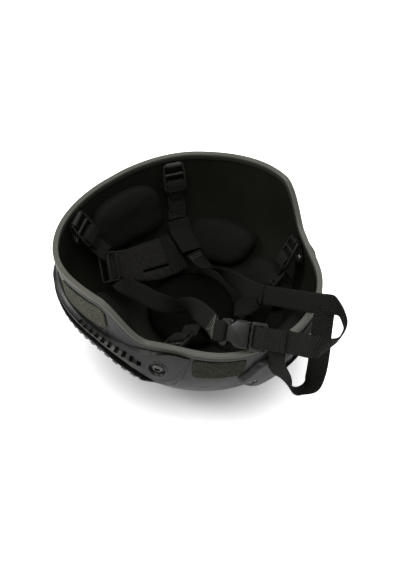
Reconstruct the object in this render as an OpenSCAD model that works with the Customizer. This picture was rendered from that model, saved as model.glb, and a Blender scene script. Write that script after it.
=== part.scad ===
// Combat helmet lying upside down on its crown, with side rails, a front mount plate,
// foam pads and a four-point chin harness. Millimetres. +X is the front, +Y the wearer's
// right, +Z runs from the crown up to the opening, and the crown rests at z = 0.

/* [Shell] */
// Centre to the front of the shell
front_r = 141; // [135:1:147]
// Centre to the rear of the shell
rear_r = 128; // [123:1:133]
// Centre to the side of the shell
side_r = 127.5; // [123:0.5:132]
// Height above the crown at which the wall turns upright
dome_h = 114; // [108:1:118]
// Wall thickness
wall = 3.2; // [2.6:0.1:4]
// Crown to the rim over the forehead
front_h = 127.6; // [124:0.2:131]
// Crown to the rim over the ears
ear_h = 164.6; // [158:0.2:170]
// Crown to the rim at the nape
rear_h = 152.6; // [147:0.2:157]
// How far the shell flares outwards behind the ears
ear_flare = 11; // [8:0.5:13]
// How far the shell is drawn in ahead of the ears
temple_pinch = 8; // [5:0.5:10]

/* [Edge trim] */
// Thickness of the trim's lips
lip_t = 1; // [0.8:0.1:1.4]
// Depth of the trim's lips below the rim
lip_depth = 6; // [4.5:0.5:7.5]
// Thickness of the trim over the rim
trim_top = 1.4; // [1:0.1:2]

/* [Rails] */
// Height of the upper ledge above the shell
ledge_h = 8; // [7:0.5:9]
// Height of the lower lip above the shell
rail_lip_h = 9.5; // [8.5:0.5:10.5]
// Height of the slot's floor above the shell
slot_floor_h = 2.5; // [1.8:0.1:3.2]
// Height of the front and rear bolt panels above the shell
panel_h = 5.5; // [4.5:0.5:6.5]
// Number of square notches in a ledge
notch_count = 10; // [6:1:12]
// Width of a notch
notch_w = 3.6; // [2.8:0.2:4.2]
// Depth of a notch
notch_depth = 3; // [2:0.2:4]

/* [Bolts] */
// Thread diameter of the harness bolts
bolt_d = 5; // [4:0.5:6]
// Head diameter of the harness bolts
bolt_head_d = 11; // [9.5:0.5:12.5]
// Head thickness of the harness bolts
bolt_head_t = 2.6; // [2:0.2:3.2]
// Diameter of the harness nuts
nut_d = 12; // [10:0.5:13]
// Thickness of the harness nuts
nut_t = 3.3; // [2.6:0.1:3.6]
// Clearance of a bolt in its hole, on the radius
bolt_play = 0.2; // [0.1:0.05:0.4]

/* [Front mount plate] */
// Thickness of the plate
plate_t = 5.5; // [4.5:0.5:6.5]
// Width of the socket
socket_w = 24; // [20:1:27]
// Height of the socket
socket_h = 32; // [26:1:34]
// Diameter of the tether hole under the socket
tether_d = 5; // [4:0.5:6]
// Head diameter of the plate's screws
screw_head_d = 8; // [6.5:0.5:9]

/* [Patches and pads] */
// Thickness of the loop patches
patch_t = 1.6; // [1.2:0.1:2.2]
// Thickness of the foam pads
pad_t = 19; // [15:1:21]
// Diameter of the crown pad
crown_pad_d = 104; // [96:2:110]
// Diameter of the hook discs that hold the pads
disc_d = 18; // [14:1:20]

/* [Harness] */
// Width of the webbing
web_w = 20; // [18:0.5:21]
// Thickness of the webbing
web_t = 1.6; // [1.2:0.1:1.8]
// Width of the nape band at its middle
nape_w = 45; // [40:1:48]
// Width of a strap adjuster
lock_w = 27; // [26:0.5:29]
// Thickness of a strap adjuster
lock_t = 4; // [3.4:0.2:4.4]
// Length of a strap adjuster from its bar to its thumb tab
lock_l = 42; // [40:1:44]
// Diameter of an adjuster's hinge bar
bar_d = 3.4; // [2.8:0.2:3.6]
// Width of the bracket that carries an adjuster
bracket_w = 17; // [14:0.5:18]

/* [Buckle] */
// Width of the buckle
buckle_w = 27; // [26.5:0.5:28]
// Thickness of the buckle's receiving half
female_t = 9; // [8.5:0.5:10]
// Length of the buckle's receiving half
female_l = 29; // [27:1:31]
// Thickness of the buckle's plug half
male_t = 5.2; // [4.8:0.2:5.6]
// Travel of the plug when the buckle is drawn apart
plug_travel = 18; // [16:1:18]

/* [Hidden] */
$fn = 32;

dome_m = 2.2;
crown_cut = 0.35;
columns = 96;
rows_out = 14;
rows_in = 11;
foot_z = 45;
fit_gap = 0.25;
face_gap = 0.3;
seat_gap = 0.35;

// Smooth step from 0 to 1
function smooth(u) = let (c = min(1, max(0, u))) c * c * (3 - 2 * c);
function unit(v) = v / norm(v);
function along(a, b, f) = a + (b - a) * f;

// Front, rear and side radii, and front, ear and rear heights, of the shell for which the
// heights and routes further down were laid out
laid_r = [141, 128, 127.5];
laid_h = [127.6, 164.6, 152.6];

// The rim rises round this angle ahead of the ear and falls round the other one behind it
rise_t = 74;
rise_span = 23;
fall_t = 110;
fall_span = 45;
function rim_of(t, h) = h[0] + (h[1] - h[0]) * smooth((abs(t) - rise_t) / rise_span + 0.5)
    - (h[1] - h[2]) * smooth((abs(t) - fall_t) / fall_span + 0.5);

// Height of the rim and of the trim's top at an angle from the front
function rim_z(t) = rim_of(t, [front_h, ear_h, rear_h]);
function trim_z(t) = rim_z(t) + trim_top;

// A laid-out height, place or route fitted to the shell's present sizes
function fit_z(t, z) = z * rim_z(t) / rim_of(t, laid_h);
function fit_pt(p) = [p[0] * (p[0] > 0 ? front_r / laid_r[0] : rear_r / laid_r[1]),
    p[1] * side_r / laid_r[2], fit_z(atan2(p[1], p[0]), p[2])];
function fit_route(r) = [for (s = r) [fit_pt(s[0]), s[1]]];

// Plan radius of the shell before its flare, drawn in by i
function plan_r(t, i) = 1 / sqrt(pow(cos(t) / ((abs(t) < 90 ? front_r : rear_r) - i), 2)
    + pow(sin(t) / (side_r - i), 2));
function flare_r(t) = ear_flare * exp(-pow((abs(t) - 128) / 32, 2))
    - temple_pinch * exp(-pow((abs(t) - 53) / 18, 2));

// Share of the plan radius that the dome has at a height
function dome_g(z, i) = let (u = (dome_h - z - crown_cut) / (dome_h - i))
    u <= 0 ? 1 : pow(1 - pow(min(1, u), dome_m), 1 / dome_m);
function shell_r(t, z, i) = plan_r(t, i) * dome_g(z, i)
    + flare_r(t) * smooth((z - foot_z) / (trim_z(t) - foot_z));
function shell_pt(t, z, i = 0) = let (r = shell_r(t, z, i)) [r * cos(t), r * sin(t), z];
function shell_n(t, z, i = 0) = unit(cross(shell_pt(t + 0.5, z, i) - shell_pt(t - 0.5, z, i),
    shell_pt(t, z + 0.5, i) - shell_pt(t, z - 0.5, i)));
function on_shell(t, z, h) = shell_pt(t, z) + h * shell_n(t, z);

// Frame on the outer or inner face: tangent, up, outward normal and place
function frame_at(t, z, i = 0) = let (n = shell_n(t, z, i), e = unit(cross([0, 0, 1], n)))
    [e, cross(n, e), n, shell_pt(t, z, i)];
function place(f, v) = f[3] + v[0] * f[0] + v[1] * f[1] + v[2] * f[2];
function frame_matrix(f) = [[f[0][0], f[1][0], f[2][0], f[3][0]], [f[0][1], f[1][1], f[2][1], f[3][1]],
    [f[0][2], f[1][2], f[2][2], f[3][2]], [0, 0, 0, 1]];

// Smooth curve through a list of values, n steps a span
function curve_at(a, b, c, d, t) = 0.5 * (2 * b + (c - a) * t + (2 * a - 5 * b + 4 * c - d) * t * t
    + (3 * b - a - 3 * c + d) * t * t * t);
function curve(p, n) = let (m = len(p) - 1)
    [for (i = [0 : m - 1]) for (k = [0 : n - 1])
        curve_at(i > 0 ? p[i - 1] : 2 * p[0] - p[1], p[i], p[i + 1],
            i < m - 1 ? p[i + 2] : 2 * p[m] - p[m - 1], k / n), p[m]];

// Closed skin of triangles, turned so that its faces point outwards
function skin_volume(p, f) = [for (t = f) p[t[0]] * cross(p[t[1]], p[t[2]])] * [for (t = f) 1];
module closed_skin(points, faces) {
    outward = skin_volume(points, faces) < 0;
    polyhedron(points, outward ? faces : [for (f = faces) [for (k = [len(f) - 1 : -1 : 0]) f[k]]]);
}
function band_faces(n, m, loop) = [for (i = [0 : loop ? m - 1 : m - 2]) for (j = [0 : n - 1])
    let (a = i * n + j, b = i * n + (j + 1) % n)
    let (c = ((i + 1) % m) * n + j, d = ((i + 1) % m) * n + (j + 1) % n)
    each [[a, b, d], [a, d, c]]];

// Solid through a list of rings, open rings capped at both ends
module loft(rings, loop = false) {
    n = len(rings[0]);
    m = len(rings);
    caps = loop ? [] : [[for (j = [n - 1 : -1 : 0]) j], [for (j = [0 : n - 1]) (m - 1) * n + j]];
    closed_skin([for (r = rings) each r], concat(band_faces(n, m, loop), caps));
}

// Solid through a list of rings that close on a point at each end
module pod(rings, first, last) {
    n = len(rings[0]);
    m = len(rings);
    fan_a = [for (j = [0 : n - 1]) [n * m, (j + 1) % n, j]];
    fan_b = [for (j = [0 : n - 1]) [n * m + 1, (m - 1) * n + j, (m - 1) * n + (j + 1) % n]];
    closed_skin(concat([for (r = rings) each r], [first, last]),
        concat(fan_a, band_faces(n, m, false), fan_b));
}

// Shell
function shell_row(k, n, i) = [for (c = [0 : columns - 1]) let (t = c * 360 / columns - 180)
    shell_pt(t, (rim_z(t) - i + crown_cut) * (1 - cos(90 * k / n)) + i - crown_cut, i)];
module shell_skin() {
    rings = concat([for (k = [1 : rows_out]) shell_row(k, rows_out, 0)],
        [for (k = [rows_in : -1 : 1]) shell_row(k, rows_in, wall)]);
    pod(rings, [0, 0, -crown_cut], [0, 0, wall - crown_cut]);
}
module shell() {
    color("dimgray")
    difference() {
        shell_skin();
        translate([-front_r, -front_r, -front_r])
            cube([2 * front_r, 2 * front_r, front_r]);
        for (c = corners)
            at_bolt(c)
                translate([0, 0, -2 * wall])
                    cylinder(d = bolt_d + 2 * bolt_play, h = 4 * wall);
        for (s = plate_screws)
            at_shell(s[0], s[1])
                translate([0, 0, -2 * wall])
                    cylinder(d = screw_d + 2 * bolt_play, h = 4 * wall);
    }
}
module at_shell(t, z, i = 0) {
    multmatrix(frame_matrix(frame_at(t, z, i)))
        children();
}

// Harness corners: angle, bolt height, bar shift along the wall, bar rise, lean and tilt
rear_bolt_t = 149;
rear_bolt_z = fit_z(rear_bolt_t, 117);
front_bolt_t = 58;
front_bolt_z = fit_z(front_bolt_t, 100);
rear_right = [rear_bolt_t, rear_bolt_z, -5.5, 27, 0, 12];
rear_left = [-rear_bolt_t, rear_bolt_z, -1.5, 27, -11, 21];
front_right = [front_bolt_t, front_bolt_z, 10, 17, -15, 30];
front_left = [-front_bolt_t, front_bolt_z, 8, 16, 25, 66];
corners = [rear_right, rear_left, front_right, front_left];
module at_bolt(c) {
    at_shell(c[0], c[1])
        children();
}

// Edge trim: a channel over the rim
lip_out = fit_gap + lip_t;
lip_in = -wall - fit_gap - lip_t;
trim_edge = 0.8;
function rim_slope(t) = let (a = shell_pt(t - 0.5, rim_z(t - 0.5)), b = shell_pt(t + 0.5, rim_z(t + 0.5)))
    (b[2] - a[2]) / norm([b[0] - a[0], b[1] - a[1]]);
function trim_at(t, o, dz) = let (z = rim_z(t) + dz * sqrt(1 + pow(rim_slope(t), 2)))
    let (n = shell_n(t, min(z, rim_z(t))), e = unit([n[0], n[1]]), p = shell_pt(t, min(z, rim_z(t))))
    [p[0] + o * e[0], p[1] + o * e[1], z];
trim_profile = [[lip_out - trim_edge, trim_top], [lip_out, trim_top - trim_edge], [lip_out, -lip_depth],
    [fit_gap, -lip_depth], [fit_gap, fit_gap], [-wall - fit_gap, fit_gap], [-wall - fit_gap, -lip_depth],
    [lip_in, -lip_depth], [lip_in, trim_top - trim_edge], [lip_in + trim_edge, trim_top]];
module edge_trim() {
    color("darkgray")
    loft([for (k = [0 : columns - 1]) let (t = k * 360 / columns - 180)
        [for (p = trim_profile) trim_at(t, p[0], p[1])]], true);
}

// Side rail: heights along the shell at angles from the front, for the sections
rail_top = [[44, 121], [46, 123], [50, 126], [54, 125], [57, 122], [61, 119], [70, 119], [87, 119.5],
    [98, 121], [124, 122.5], [134, 126], [142, 129], [150, 127], [156, 119]];
rail_bottom = [[44, 116], [46, 100], [48, 80], [51, 72], [57, 73], [62, 75], [66, 78], [73, 88], [79, 95],
    [85, 99.5], [92, 101], [124, 102], [142, 104], [150, 107], [156, 115]];
rail_slot_low = [[44, 118], [50, 90], [60, 78], [65, 80], [69, 91], [76, 99], [82, 107], [90, 110.5],
    [130, 111], [138, 113], [156, 117]];
rail_slot_high = [[44, 118.5], [50, 91], [60, 79.5], [64, 89], [67, 95], [73, 104.5], [79, 110.5],
    [86, 115.5], [93, 117.5], [130, 117.8], [138, 114], [156, 117.5]];
rail_ledge_top = [[44, 119], [50, 100], [58, 94], [62, 97], [67, 104], [72, 109], [79, 114], [86, 118],
    [93, 119.5], [130, 120], [138, 119], [156, 118]];
rail_ridge = [[44, 120], [50, 119], [57, 115], [62, 112.5], [68, 112.5], [76, 116.5], [86, 119.3],
    [98, 120.8], [124, 122], [134, 123], [156, 118.5]];
rail_open = [[44, 0], [60, 0], [64, 0.6], [68, 1], [126, 1], [134, 0.3], [138, 0], [156, 0]];
rail_rim = [[44, 0.4], [46, 0.75], [50, 1], [150, 1], [153, 0.8], [156, 0.4]];
rail_angles = [44, 45, 46, 48, 50, 52, 55, 58, 61, 63, 65, 67, 69, 71, 73, 76, 79, 82, 85, 88, 91, 94.5, 98,
    101.5, 105, 108.5, 112, 115.5, 119, 122.5, 126, 130, 134, 138, 142, 146, 150, 153, 156];
undercut = 1.4;
function rail_z(t, line) = fit_z(t, lookup(t, line));
function rail_section(t) = let (q = lookup(t, rail_open), e = lookup(t, rail_rim) * panel_h)
    let (lo = rail_z(t, rail_bottom), s0 = rail_z(t, rail_slot_low), s1 = rail_z(t, rail_slot_high))
    let (l = rail_z(t, rail_ledge_top), r = rail_z(t, rail_ridge), up = rail_z(t, rail_top))
    let (hl = along(e, rail_lip_h, q), he = along(e, ledge_h, q), hs = along(e - 0.4, slot_floor_h, q))
    let (k = min(undercut, (s1 - s0) / 3) * q, hr = along(e, 3, smooth((t - 60) / 12) * q))
    let (foot = min(up, rim_z(t) - lip_depth - 0.8))
    [[lo, seat_gap], [lo + 0.15 * (s0 - lo), 0.7 * hl], [lo + 0.4 * (s0 - lo), hl], [s0, hl],
    [s0, hl - 1.2 * q], [s0 - k, hs + 0.2], [s1 + k, hs + 0.2], [s1, he - 1.2 * q], [s1, he], [l, he],
    [along(l, r, 0.35), along(he, hr, 0.7)], [r, hr], [along(r, up, 0.7), 0.8 * hr],
    for (f = [0 : 0.2 : 0.8]) [along(foot, lo, f), seat_gap]];
module rail_body() {
    loft([for (t = rail_angles) [for (p = rail_section(t)) on_shell(t, p[0], p[1])]]);
}
rail_pocket_d = 17;
rail_pocket_floor = 2.6;
head_gap = 0.05;
notch_from = 66;
notch_to = 96;
module rail() {
    difference() {
        rail_body();
        for (c = [rear_right, front_right])
            at_bolt(c) {
                translate([0, 0, rail_pocket_floor])
                    cylinder(d = rail_pocket_d, h = 3 * panel_h);
                translate([0, 0, -panel_h])
                    cylinder(d = bolt_d + 2 * bolt_play, h = 3 * panel_h);
            }
        for (k = [0 : notch_count - 1])
            let (t = along(notch_from, notch_to, k / (notch_count - 1)), z = rail_z(t, rail_ledge_top))
            multmatrix(frame_matrix(frame_at(t, z)))
                translate([-notch_w / 2, -notch_depth, 0.45 * ledge_h])
                    cube([notch_w, 2 * notch_depth, notch_w]);
    }
}
module right_rail() {
    color("#33342f")
    rail();
}
module left_rail() {
    color("#33342f")
    mirror([0, 1, 0])
        rail();
}

// Bolts through rail, shell and bracket, with a driver slot in each head
module bolt() {
    grip = rail_pocket_floor + wall + bracket_in + bracket_t + 0.7 * nut_t;
    difference() {
        union() {
            translate([0, 0, rail_pocket_floor + head_gap])
                cylinder(d = bolt_head_d, h = bolt_head_t);
            translate([0, 0, rail_pocket_floor - grip])
                cylinder(d = bolt_d, h = grip + 2 * head_gap);
        }
        translate([-bolt_head_d, -0.6, rail_pocket_floor + 0.45 * bolt_head_t])
            cube([2 * bolt_head_d, 1.2, bolt_head_t]);
    }
}
module rail_bolts() {
    color("#4a4b47")
    for (c = corners)
        at_bolt(c)
            bolt();
}
module harness_nuts() {
    color("silver")
    for (c = corners)
        at_bolt(c)
            translate([0, 0, -wall - bracket_in - bracket_t - nut_t - head_gap])
                difference() {
                    cylinder(d = nut_d, h = nut_t);
                    translate([0, 0, 0.25 * nut_t])
                        cylinder(d = bolt_d + bolt_play, h = nut_t);
                }
}

// Brackets: a plate on the bolt with a rolled eye for the adjuster's bar
bracket_t = 1.4;
bracket_gap = 0.35;
bracket_in = bracket_gap + 1.2;
bar_play = 0.3;
eye_r = bar_d / 2 + bar_play + bracket_t;
eye_sink = 0.2;
bar_in = wall + bracket_in + bracket_t + eye_r - eye_sink;
module at_eye(c) {
    at_bolt(c)
        translate([c[2], c[3], -bar_in])
            rotate([0, 0, c[4]])
                children();
}
function eye_end(c, s) = [c[2] + s * cos(c[4]) * bracket_w / 2, c[3] + s * sin(c[4]) * bracket_w / 2];
module bracket_plate(c) {
    difference() {
        union() {
            cylinder(d = bracket_w, h = bracket_t);
            linear_extrude(bracket_t)
                polygon([[-bracket_w / 2, 0], [bracket_w / 2, 0], eye_end(c, 1), eye_end(c, -1)]);
            cylinder(d = nut_d, h = bracket_t + bracket_in - bracket_gap);
        }
        translate([0, 0, -1])
            cylinder(d = bolt_d + 2 * bolt_play, h = 3 * bracket_t + bracket_in);
    }
}
module strap_brackets() {
    color("#2c2c29")
    for (c = corners)
        difference() {
            union() {
                at_bolt(c)
                    translate([0, 0, -wall - bracket_in - bracket_t])
                        bracket_plate(c);
                at_eye(c)
                    rotate([0, 90, 0])
                        cylinder(r = eye_r, h = bracket_w, center = true);
            }
            at_eye(c)
                rotate([0, 90, 0])
                    cylinder(r = bar_d / 2 + bar_play, h = 2 * bracket_w, center = true);
        }
}

// Adjusters: ladder frames that hinge on the brackets' eyes; the body runs towards -Y
function spin_z(v, q) = [cos(q) * v[0] - sin(q) * v[1], sin(q) * v[0] + cos(q) * v[1], v[2]];
function spin_x(v, q) = [v[0], cos(q) * v[1] - sin(q) * v[2], sin(q) * v[1] + cos(q) * v[2]];
function lock_pt(c, v) = place(frame_at(c[0], c[1]),
    spin_z(spin_x(v, c[5]), c[4]) + [c[2], c[3], -bar_in]);
module at_lock(c) {
    at_eye(c)
        rotate([c[5], 0, 0])
            children();
}
arm_w = (lock_w - web_w - 2 * face_gap) / 2;
arm_end_in = 2;
cross_w = 3.4;
tab_root_w = 17;
tab_tip_x = 6;
tab_tip_r = 2;
round_bar_less = 0.4;
bar_ys = [-11, -22];
frame_end = -30;
module lock_frame() {
    for (s = [-1, 1])
        hull() {
            translate([s * (lock_w - arm_w) / 2, 0])
                circle(d = arm_w);
            translate([s * (lock_w - arm_w) / 2, frame_end + arm_end_in])
                circle(d = arm_w);
        }
    translate([-lock_w / 2 + arm_w / 2, frame_end])
        square([lock_w - arm_w, cross_w]);
    hull() {
        translate([-tab_root_w / 2, frame_end - 1])
            square([tab_root_w, 2]);
        for (s = [-1, 1])
            translate([s * tab_tip_x, -lock_l + tab_tip_r])
                circle(r = tab_tip_r);
    }
}
module lock() {
    translate([0, 0, -lock_t / 2])
        linear_extrude(lock_t)
            lock_frame();
    rotate([0, 90, 0])
        cylinder(d = bar_d, h = lock_w - arm_w, center = true);
    for (y = bar_ys)
        translate([0, y, 0])
            rotate([0, 90, 0])
                cylinder(d = lock_t - round_bar_less, h = lock_w - arm_w, center = true);
}
module rear_left_adjuster() {
    color("#3c3c38")
    at_lock(rear_left)
        lock();
}
module rear_right_adjuster() {
    color("#3c3c38")
    at_lock(rear_right)
        lock();
}
module front_left_adjuster() {
    color("#3c3c38")
    at_lock(front_left)
        lock();
}
module front_right_adjuster() {
    color("#3c3c38")
    at_lock(front_right)
        lock();
}

// Webbing: a flat band along a route of places and width directions; w is one width, or
// one for each place of the route
function web_rings(route, w, t, n) = let (p = curve([for (r = route) r[0]], n))
    let (q = curve([for (r = route) r[1]], n), m = len(p) - 1)
    let (v = is_list(w) ? curve(w, n) : [for (i = [0 : m]) w])
    [for (i = [0 : m]) let (d = unit(p[min(m, i + 1)] - p[max(0, i - 1)]))
        let (e = unit(q[i] - (q[i] * d) * d), f = cross(d, e))
        [p[i] + v[i] / 2 * e + t / 2 * f, p[i] - v[i] / 2 * e + t / 2 * f,
        p[i] - v[i] / 2 * e - t / 2 * f, p[i] + v[i] / 2 * e - t / 2 * f]];
module webbing(route, w = web_w, t = web_t, n = 3) {
    loft(web_rings(route, w, t, n));
}

// Webbing that passes the adjuster's second bar and runs out under its tab
web_end_y = -50;
wrap_r = lock_t / 2 + 1.4 * face_gap + web_t / 2;
leg_z = lock_t / 2 + face_gap + web_t / 2 + 0.2;
wrap_y = bar_ys[1];
end_route = [[frame_end - 1, -leg_z], [wrap_y - 5, -leg_z], [wrap_y, -wrap_r],
    [wrap_y + 0.75 * wrap_r, -0.75 * wrap_r], [wrap_y + wrap_r, 0],
    [wrap_y + 0.75 * wrap_r, 0.75 * wrap_r], [wrap_y, wrap_r], [wrap_y - 5, leg_z],
    [wrap_y - 13, leg_z], [-lock_l, leg_z - 0.25], [web_end_y, 1.6]];
module webbing_end(c) {
    wide = lock_pt(c, [1, 0, 0]) - lock_pt(c, [0, 0, 0]);
    webbing([for (p = end_route) [lock_pt(c, [0, p[0], p[1]]), wide]], n = 2);
}
module rear_left_webbing_end() {
    color("#2b2a27")
    webbing_end(rear_left);
}
module rear_right_webbing_end() {
    color("#2b2a27")
    webbing_end(rear_right);
}
module front_left_webbing_end() {
    color("#2b2a27")
    webbing_end(front_left);
}
module front_right_webbing_end() {
    color("#2b2a27")
    webbing_end(front_right);
}

// Fixed straps start just past the webbing ends; routes lie as the harness fell
function strap_start(c) = [for (y = [4 * face_gap, 8]) [lock_pt(c, [0, web_end_y - y, 1.6 - 0.25 * y]),
    lock_pt(c, [1, 0, 0]) - lock_pt(c, [0, 0, 0])]];
rear_left_route = [[[-99, -42.2, 88.7], [0.3, -0.95, 0]], [[-99.8, -40.2, 84.3], [0.1, -1, 0]]];
rear_right_route = [[[-90, 60.5, 87], [-0.55, -0.83, 0]], [[-86.5, 58.6, 84.2], [-0.5, -0.85, -0.1]]];
front_left_route = [[[55, -37, 88], [0.7, 0.35, 0.55]], [[63, -33.5, 86], [0.5, 0.5, 0.7]],
    [[74, -34, 88], [0.1, 0.6, 0.8]], [[84, -34.5, 92], [-0.1, 0.6, 0.8]], [[91, -33, 97], [-0.2, 0.6, 0.8]]];
front_right_route = [[[54, 70, 66], [-0.7, -0.6, 0.4]],
    [[61, 52, 54], [-0.4, -0.8, 0.4]], [[64, 36, 47], [-0.5, -0.7, 0.5]], [[58, 25, 45], [-0.9, -0.2, 0.3]],
    [[49, 21, 51], [-0.9, 0.4, 0]], [[47, 21, 64], [-0.6, 0.8, 0]], [[58, 21, 78], [-0.2, 0.6, 0.8]],
    [[66, 29.5, 88], [-0.1, 0.5, 0.85]]];
left_chin_route = [[[-69.5, -48, 66.4], [-0.3, 0.9, -0.3]], [[-64, -46.4, 66.7], [-0.15, 0.95, 0.2]],
    [[-56, -44.9, 67.5], [0, 0.85, 0.5]], [[-38, -41, 69], [0, 0.85, 0.5]], [[-17, -38, 71], [0, 0.85, 0.55]],
    [[1, -32, 74], [0.1, 0.4, 0.9]], [[14, -26, 79], [0.25, 0.1, 0.95]], [[29, -25.9, 89.5], [0.3, 0.3, 0.9]],
    [[49.4, -32.3, 101.7], [0.07, 0.85, 0.5]], [[73.9, -42.7, 116.9], [-0.15, 0.8, 0.6]]];
right_chin_route = [[[-47.5, 47.6, 63.2], [0, 1, -0.1]], [[-38, 47.1, 59.5], [-0.1, 0.95, -0.2]],
    [[-28, 49, 56], [-0.1, 0.9, -0.4]], [[-16, 52, 55], [-0.35, 0.5, -0.75]], [[0, 53, 58], [-0.5, 0, -0.86]],
    [[24, 50, 66], [-0.3, -0.26, -0.92]], [[48, 42, 80], [0, -0.55, -0.83]],
    [[70, 36, 94.5], [0.14, -0.53, -0.83]]];
chin_front_route = [[[72.2, 36.2, 95.9], [-0.14, 0.53, 0.83]], [[94.4, 34.7, 111.7], [-0.35, 0.6, 0.7]],
    [[121.8, 31.5, 131.4], [-0.47, 0.58, 0.67]], [[144.1, 32.4, 145.2], [-0.6, 0.44, 0.67]],
    [[157.4, 36, 150.6], [-0.55, 0.2, 0.8]], [[169.4, 30.8, 152.7], [0, -0.1, 1]],
    [[181.4, 18.8, 155.7], [0.25, -0.35, 0.9]],
    [[187.4, 0.8, 157.7], [0.3, -0.34, 0.9]], [[184.4, -11.2, 157.7], [0, 0.1, 1]]];
under_chin_route = [[[151.4, 28.8, 137.2], [0.69, 0.73, 0]], [[158.4, 19.8, 122.7], [0.67, 0.74, 0.05]],
    [[163.4, 14.8, 103.2], [0.69, 0.63, 0.36]], [[168.4, 7.7, 83.7], [0.84, 0.4, 0.36]],
    [[170.4, -1.2, 71.2], [0.89, 0.12, 0.43]],
    [[163.4, -14.1, 68.1], [0.5, -0.6, 0.5]], [[154.8, -21.3, 81.3], [0.2, -0.4, 0.85]],
    [[152.7, -30.9, 108.2], [0.5, 0, 0.85]], [[148.7, -33.9, 130.2], [0.8, 0.1, 0.5]]];

// Chin buckle: frame at the plug's bar, along the pull, across it and out of its face
pull = unit([0.899, 0.340, 0.273]);
face = unit(cross(pull, [-0.432, 0.608, 0.665]));
across = cross(face, pull);
plug_bar = fit_pt([130.1, -39.7, 144]);
buckle_frame = [pull, across, face, plug_bar];
function buckle_pt(v) = place(buckle_frame, v);
module at_buckle() {
    multmatrix(frame_matrix(buckle_frame))
        children();
}
plug_bar_d = 3;
turn_r = plug_bar_d / 2 + 1.4 * face_gap + web_t / 2;
leg_n = web_t + 2 * face_gap;
plug_end = 7.5;
turn_l = 28;
strap_b_from = plug_travel + plug_end + 1;
straight_to = 54;
mouth_x = -8;
receiver_end = mouth_x - female_l;
chin_back = [[buckle_pt([straight_to, 0, 0]), across], [buckle_pt([40, 0, 0]), across],
    [buckle_pt([strap_b_from, 0, 0]), across]];
under_back = [[buckle_pt([20, 0, -9]), across], [buckle_pt([34, 0, -5.2]), across],
    [buckle_pt([46, 0, -4.8]), across], [buckle_pt([51, 0, -3.4]), across],
    [buckle_pt([straight_to, 0, -leg_n]), across]];
receiver_lead = [[buckle_pt([receiver_end - 7, 0, 0]), across],
    [buckle_pt([receiver_end - 4 * face_gap, 0, 0]), across]];

module rear_left_strap() {
    color("#2b2a27")
    webbing(concat(strap_start(rear_left), fit_route(rear_left_route)));
}
module rear_right_strap() {
    color("#2b2a27")
    webbing(concat(strap_start(rear_right), fit_route(rear_right_route)));
}
module front_left_strap() {
    color("#2b2a27")
    webbing(concat(strap_start(front_left), fit_route(front_left_route)));
}
module front_right_strap() {
    color("#2b2a27")
    webbing(concat(strap_start(front_right), fit_route(front_right_route)));
}
module left_chin_strap() {
    color("#33312c")
    webbing(concat(fit_route(left_chin_route), receiver_lead));
}
module right_chin_strap() {
    color("#33312c")
    webbing(fit_route(right_chin_route));
}
module chin_front_strap() {
    color("#2b2a27")
    webbing(concat(fit_route(chin_front_route), chin_back));
}
module under_chin_strap() {
    color("#2b2a27")
    webbing(concat(fit_route(under_chin_route), under_back));
}

// Nape band, the sewn sleeve round the right strap, and the slider on the left
nape_route = [[[-86.2, -48.3, 77.3], [-0.7, 0, 0.7]], [[-85.2, -32.5, 72.4], [-0.55, 0, 0.85]],
    [[-80.9, -16.2, 64], [-0.65, 0.33, 0.68]], [[-73.4, 6.4, 59.3], [-0.66, 0.36, 0.66]],
    [[-68.9, 28.7, 56.5], [-0.7, 0.26, 0.66]], [[-67.5, 40.6, 58.2], [-0.7, 0.28, 0.66]]];
slider_inner = 29.6;
nape_widths = [slider_inner - 1, slider_inner + 1, 0.84 * nape_w, nape_w, nape_w, 0.96 * nape_w];
sleeve_route = [[[-85.5, 58.1, 83.2], [-0.5, -0.85, -0.1]], [[-77.5, 55.6, 74.2], [-0.45, -0.88, -0.1]],
    [[-64.5, 52.6, 68.2], [-0.2, -0.97, 0.05]], [[-50.5, 48.6, 64.2], [0, -1, 0.1]]];
nape_t = 2.6;
sleeve_w = 26;
sleeve_t = 3.4;
module nape_band() {
    color("#302f2b")
    webbing(fit_route(nape_route), nape_widths, nape_t);
}
module nape_sleeve() {
    color("#302f2b")
    webbing(fit_route(sleeve_route), sleeve_w, sleeve_t);
}
slider_p = fit_pt([-83.5, -48.2, 80.4]);
slider_t = 2.4;
slider_l = 22;
slider_rim = 2;
slider_window_x = 5.2;
slider_window_l = 6.4;
slider_x = unit([0.25, 0.95, -0.2]);
slider_n = unit(cross(slider_x, [-0.6, 0.05, 0.8]));
module nape_slider() {
    color("#24241f")
    multmatrix(frame_matrix([slider_x, cross(slider_n, slider_x), slider_n, slider_p]))
        linear_extrude(slider_t)
            difference() {
                square([slider_l, slider_inner + 2 * slider_rim], center = true);
                for (s = [-1, 1])
                    translate([s * slider_window_x, 0])
                        square([slider_window_l, slider_inner], center = true);
            }
}

// Receiving half of the buckle: a sleeve with side windows and a webbing slot
receiver_base = 8;
receiver_side = 2.2;
receiver_face = 1.5;
side_window_from = 17;
side_window_l = 9;
side_window_deep = 3;
end_bar_w = 2.6;
end_slot_w = 3.2;
module buckle_receiver() {
    color("#3a3a36")
    at_buckle()
        difference() {
            translate([receiver_end, -buckle_w / 2, -female_t / 2])
                cube([female_l, buckle_w, female_t]);
            translate([receiver_end + receiver_base, -buckle_w / 2 + receiver_side,
                -female_t / 2 + receiver_face])
                cube([female_l, buckle_w - 2 * receiver_side, female_t - 2 * receiver_face]);
            for (s = [-1, 1])
                translate([mouth_x - side_window_from, s * buckle_w / 2 - side_window_deep,
                    -female_t / 2 + receiver_face])
                    cube([side_window_l, 2 * side_window_deep, female_t - 2 * receiver_face]);
            translate([receiver_end + end_bar_w, -web_w / 2 - face_gap, -female_t])
                cube([end_slot_w, web_w + 2 * face_gap, 2 * female_t]);
        }
}

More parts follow.
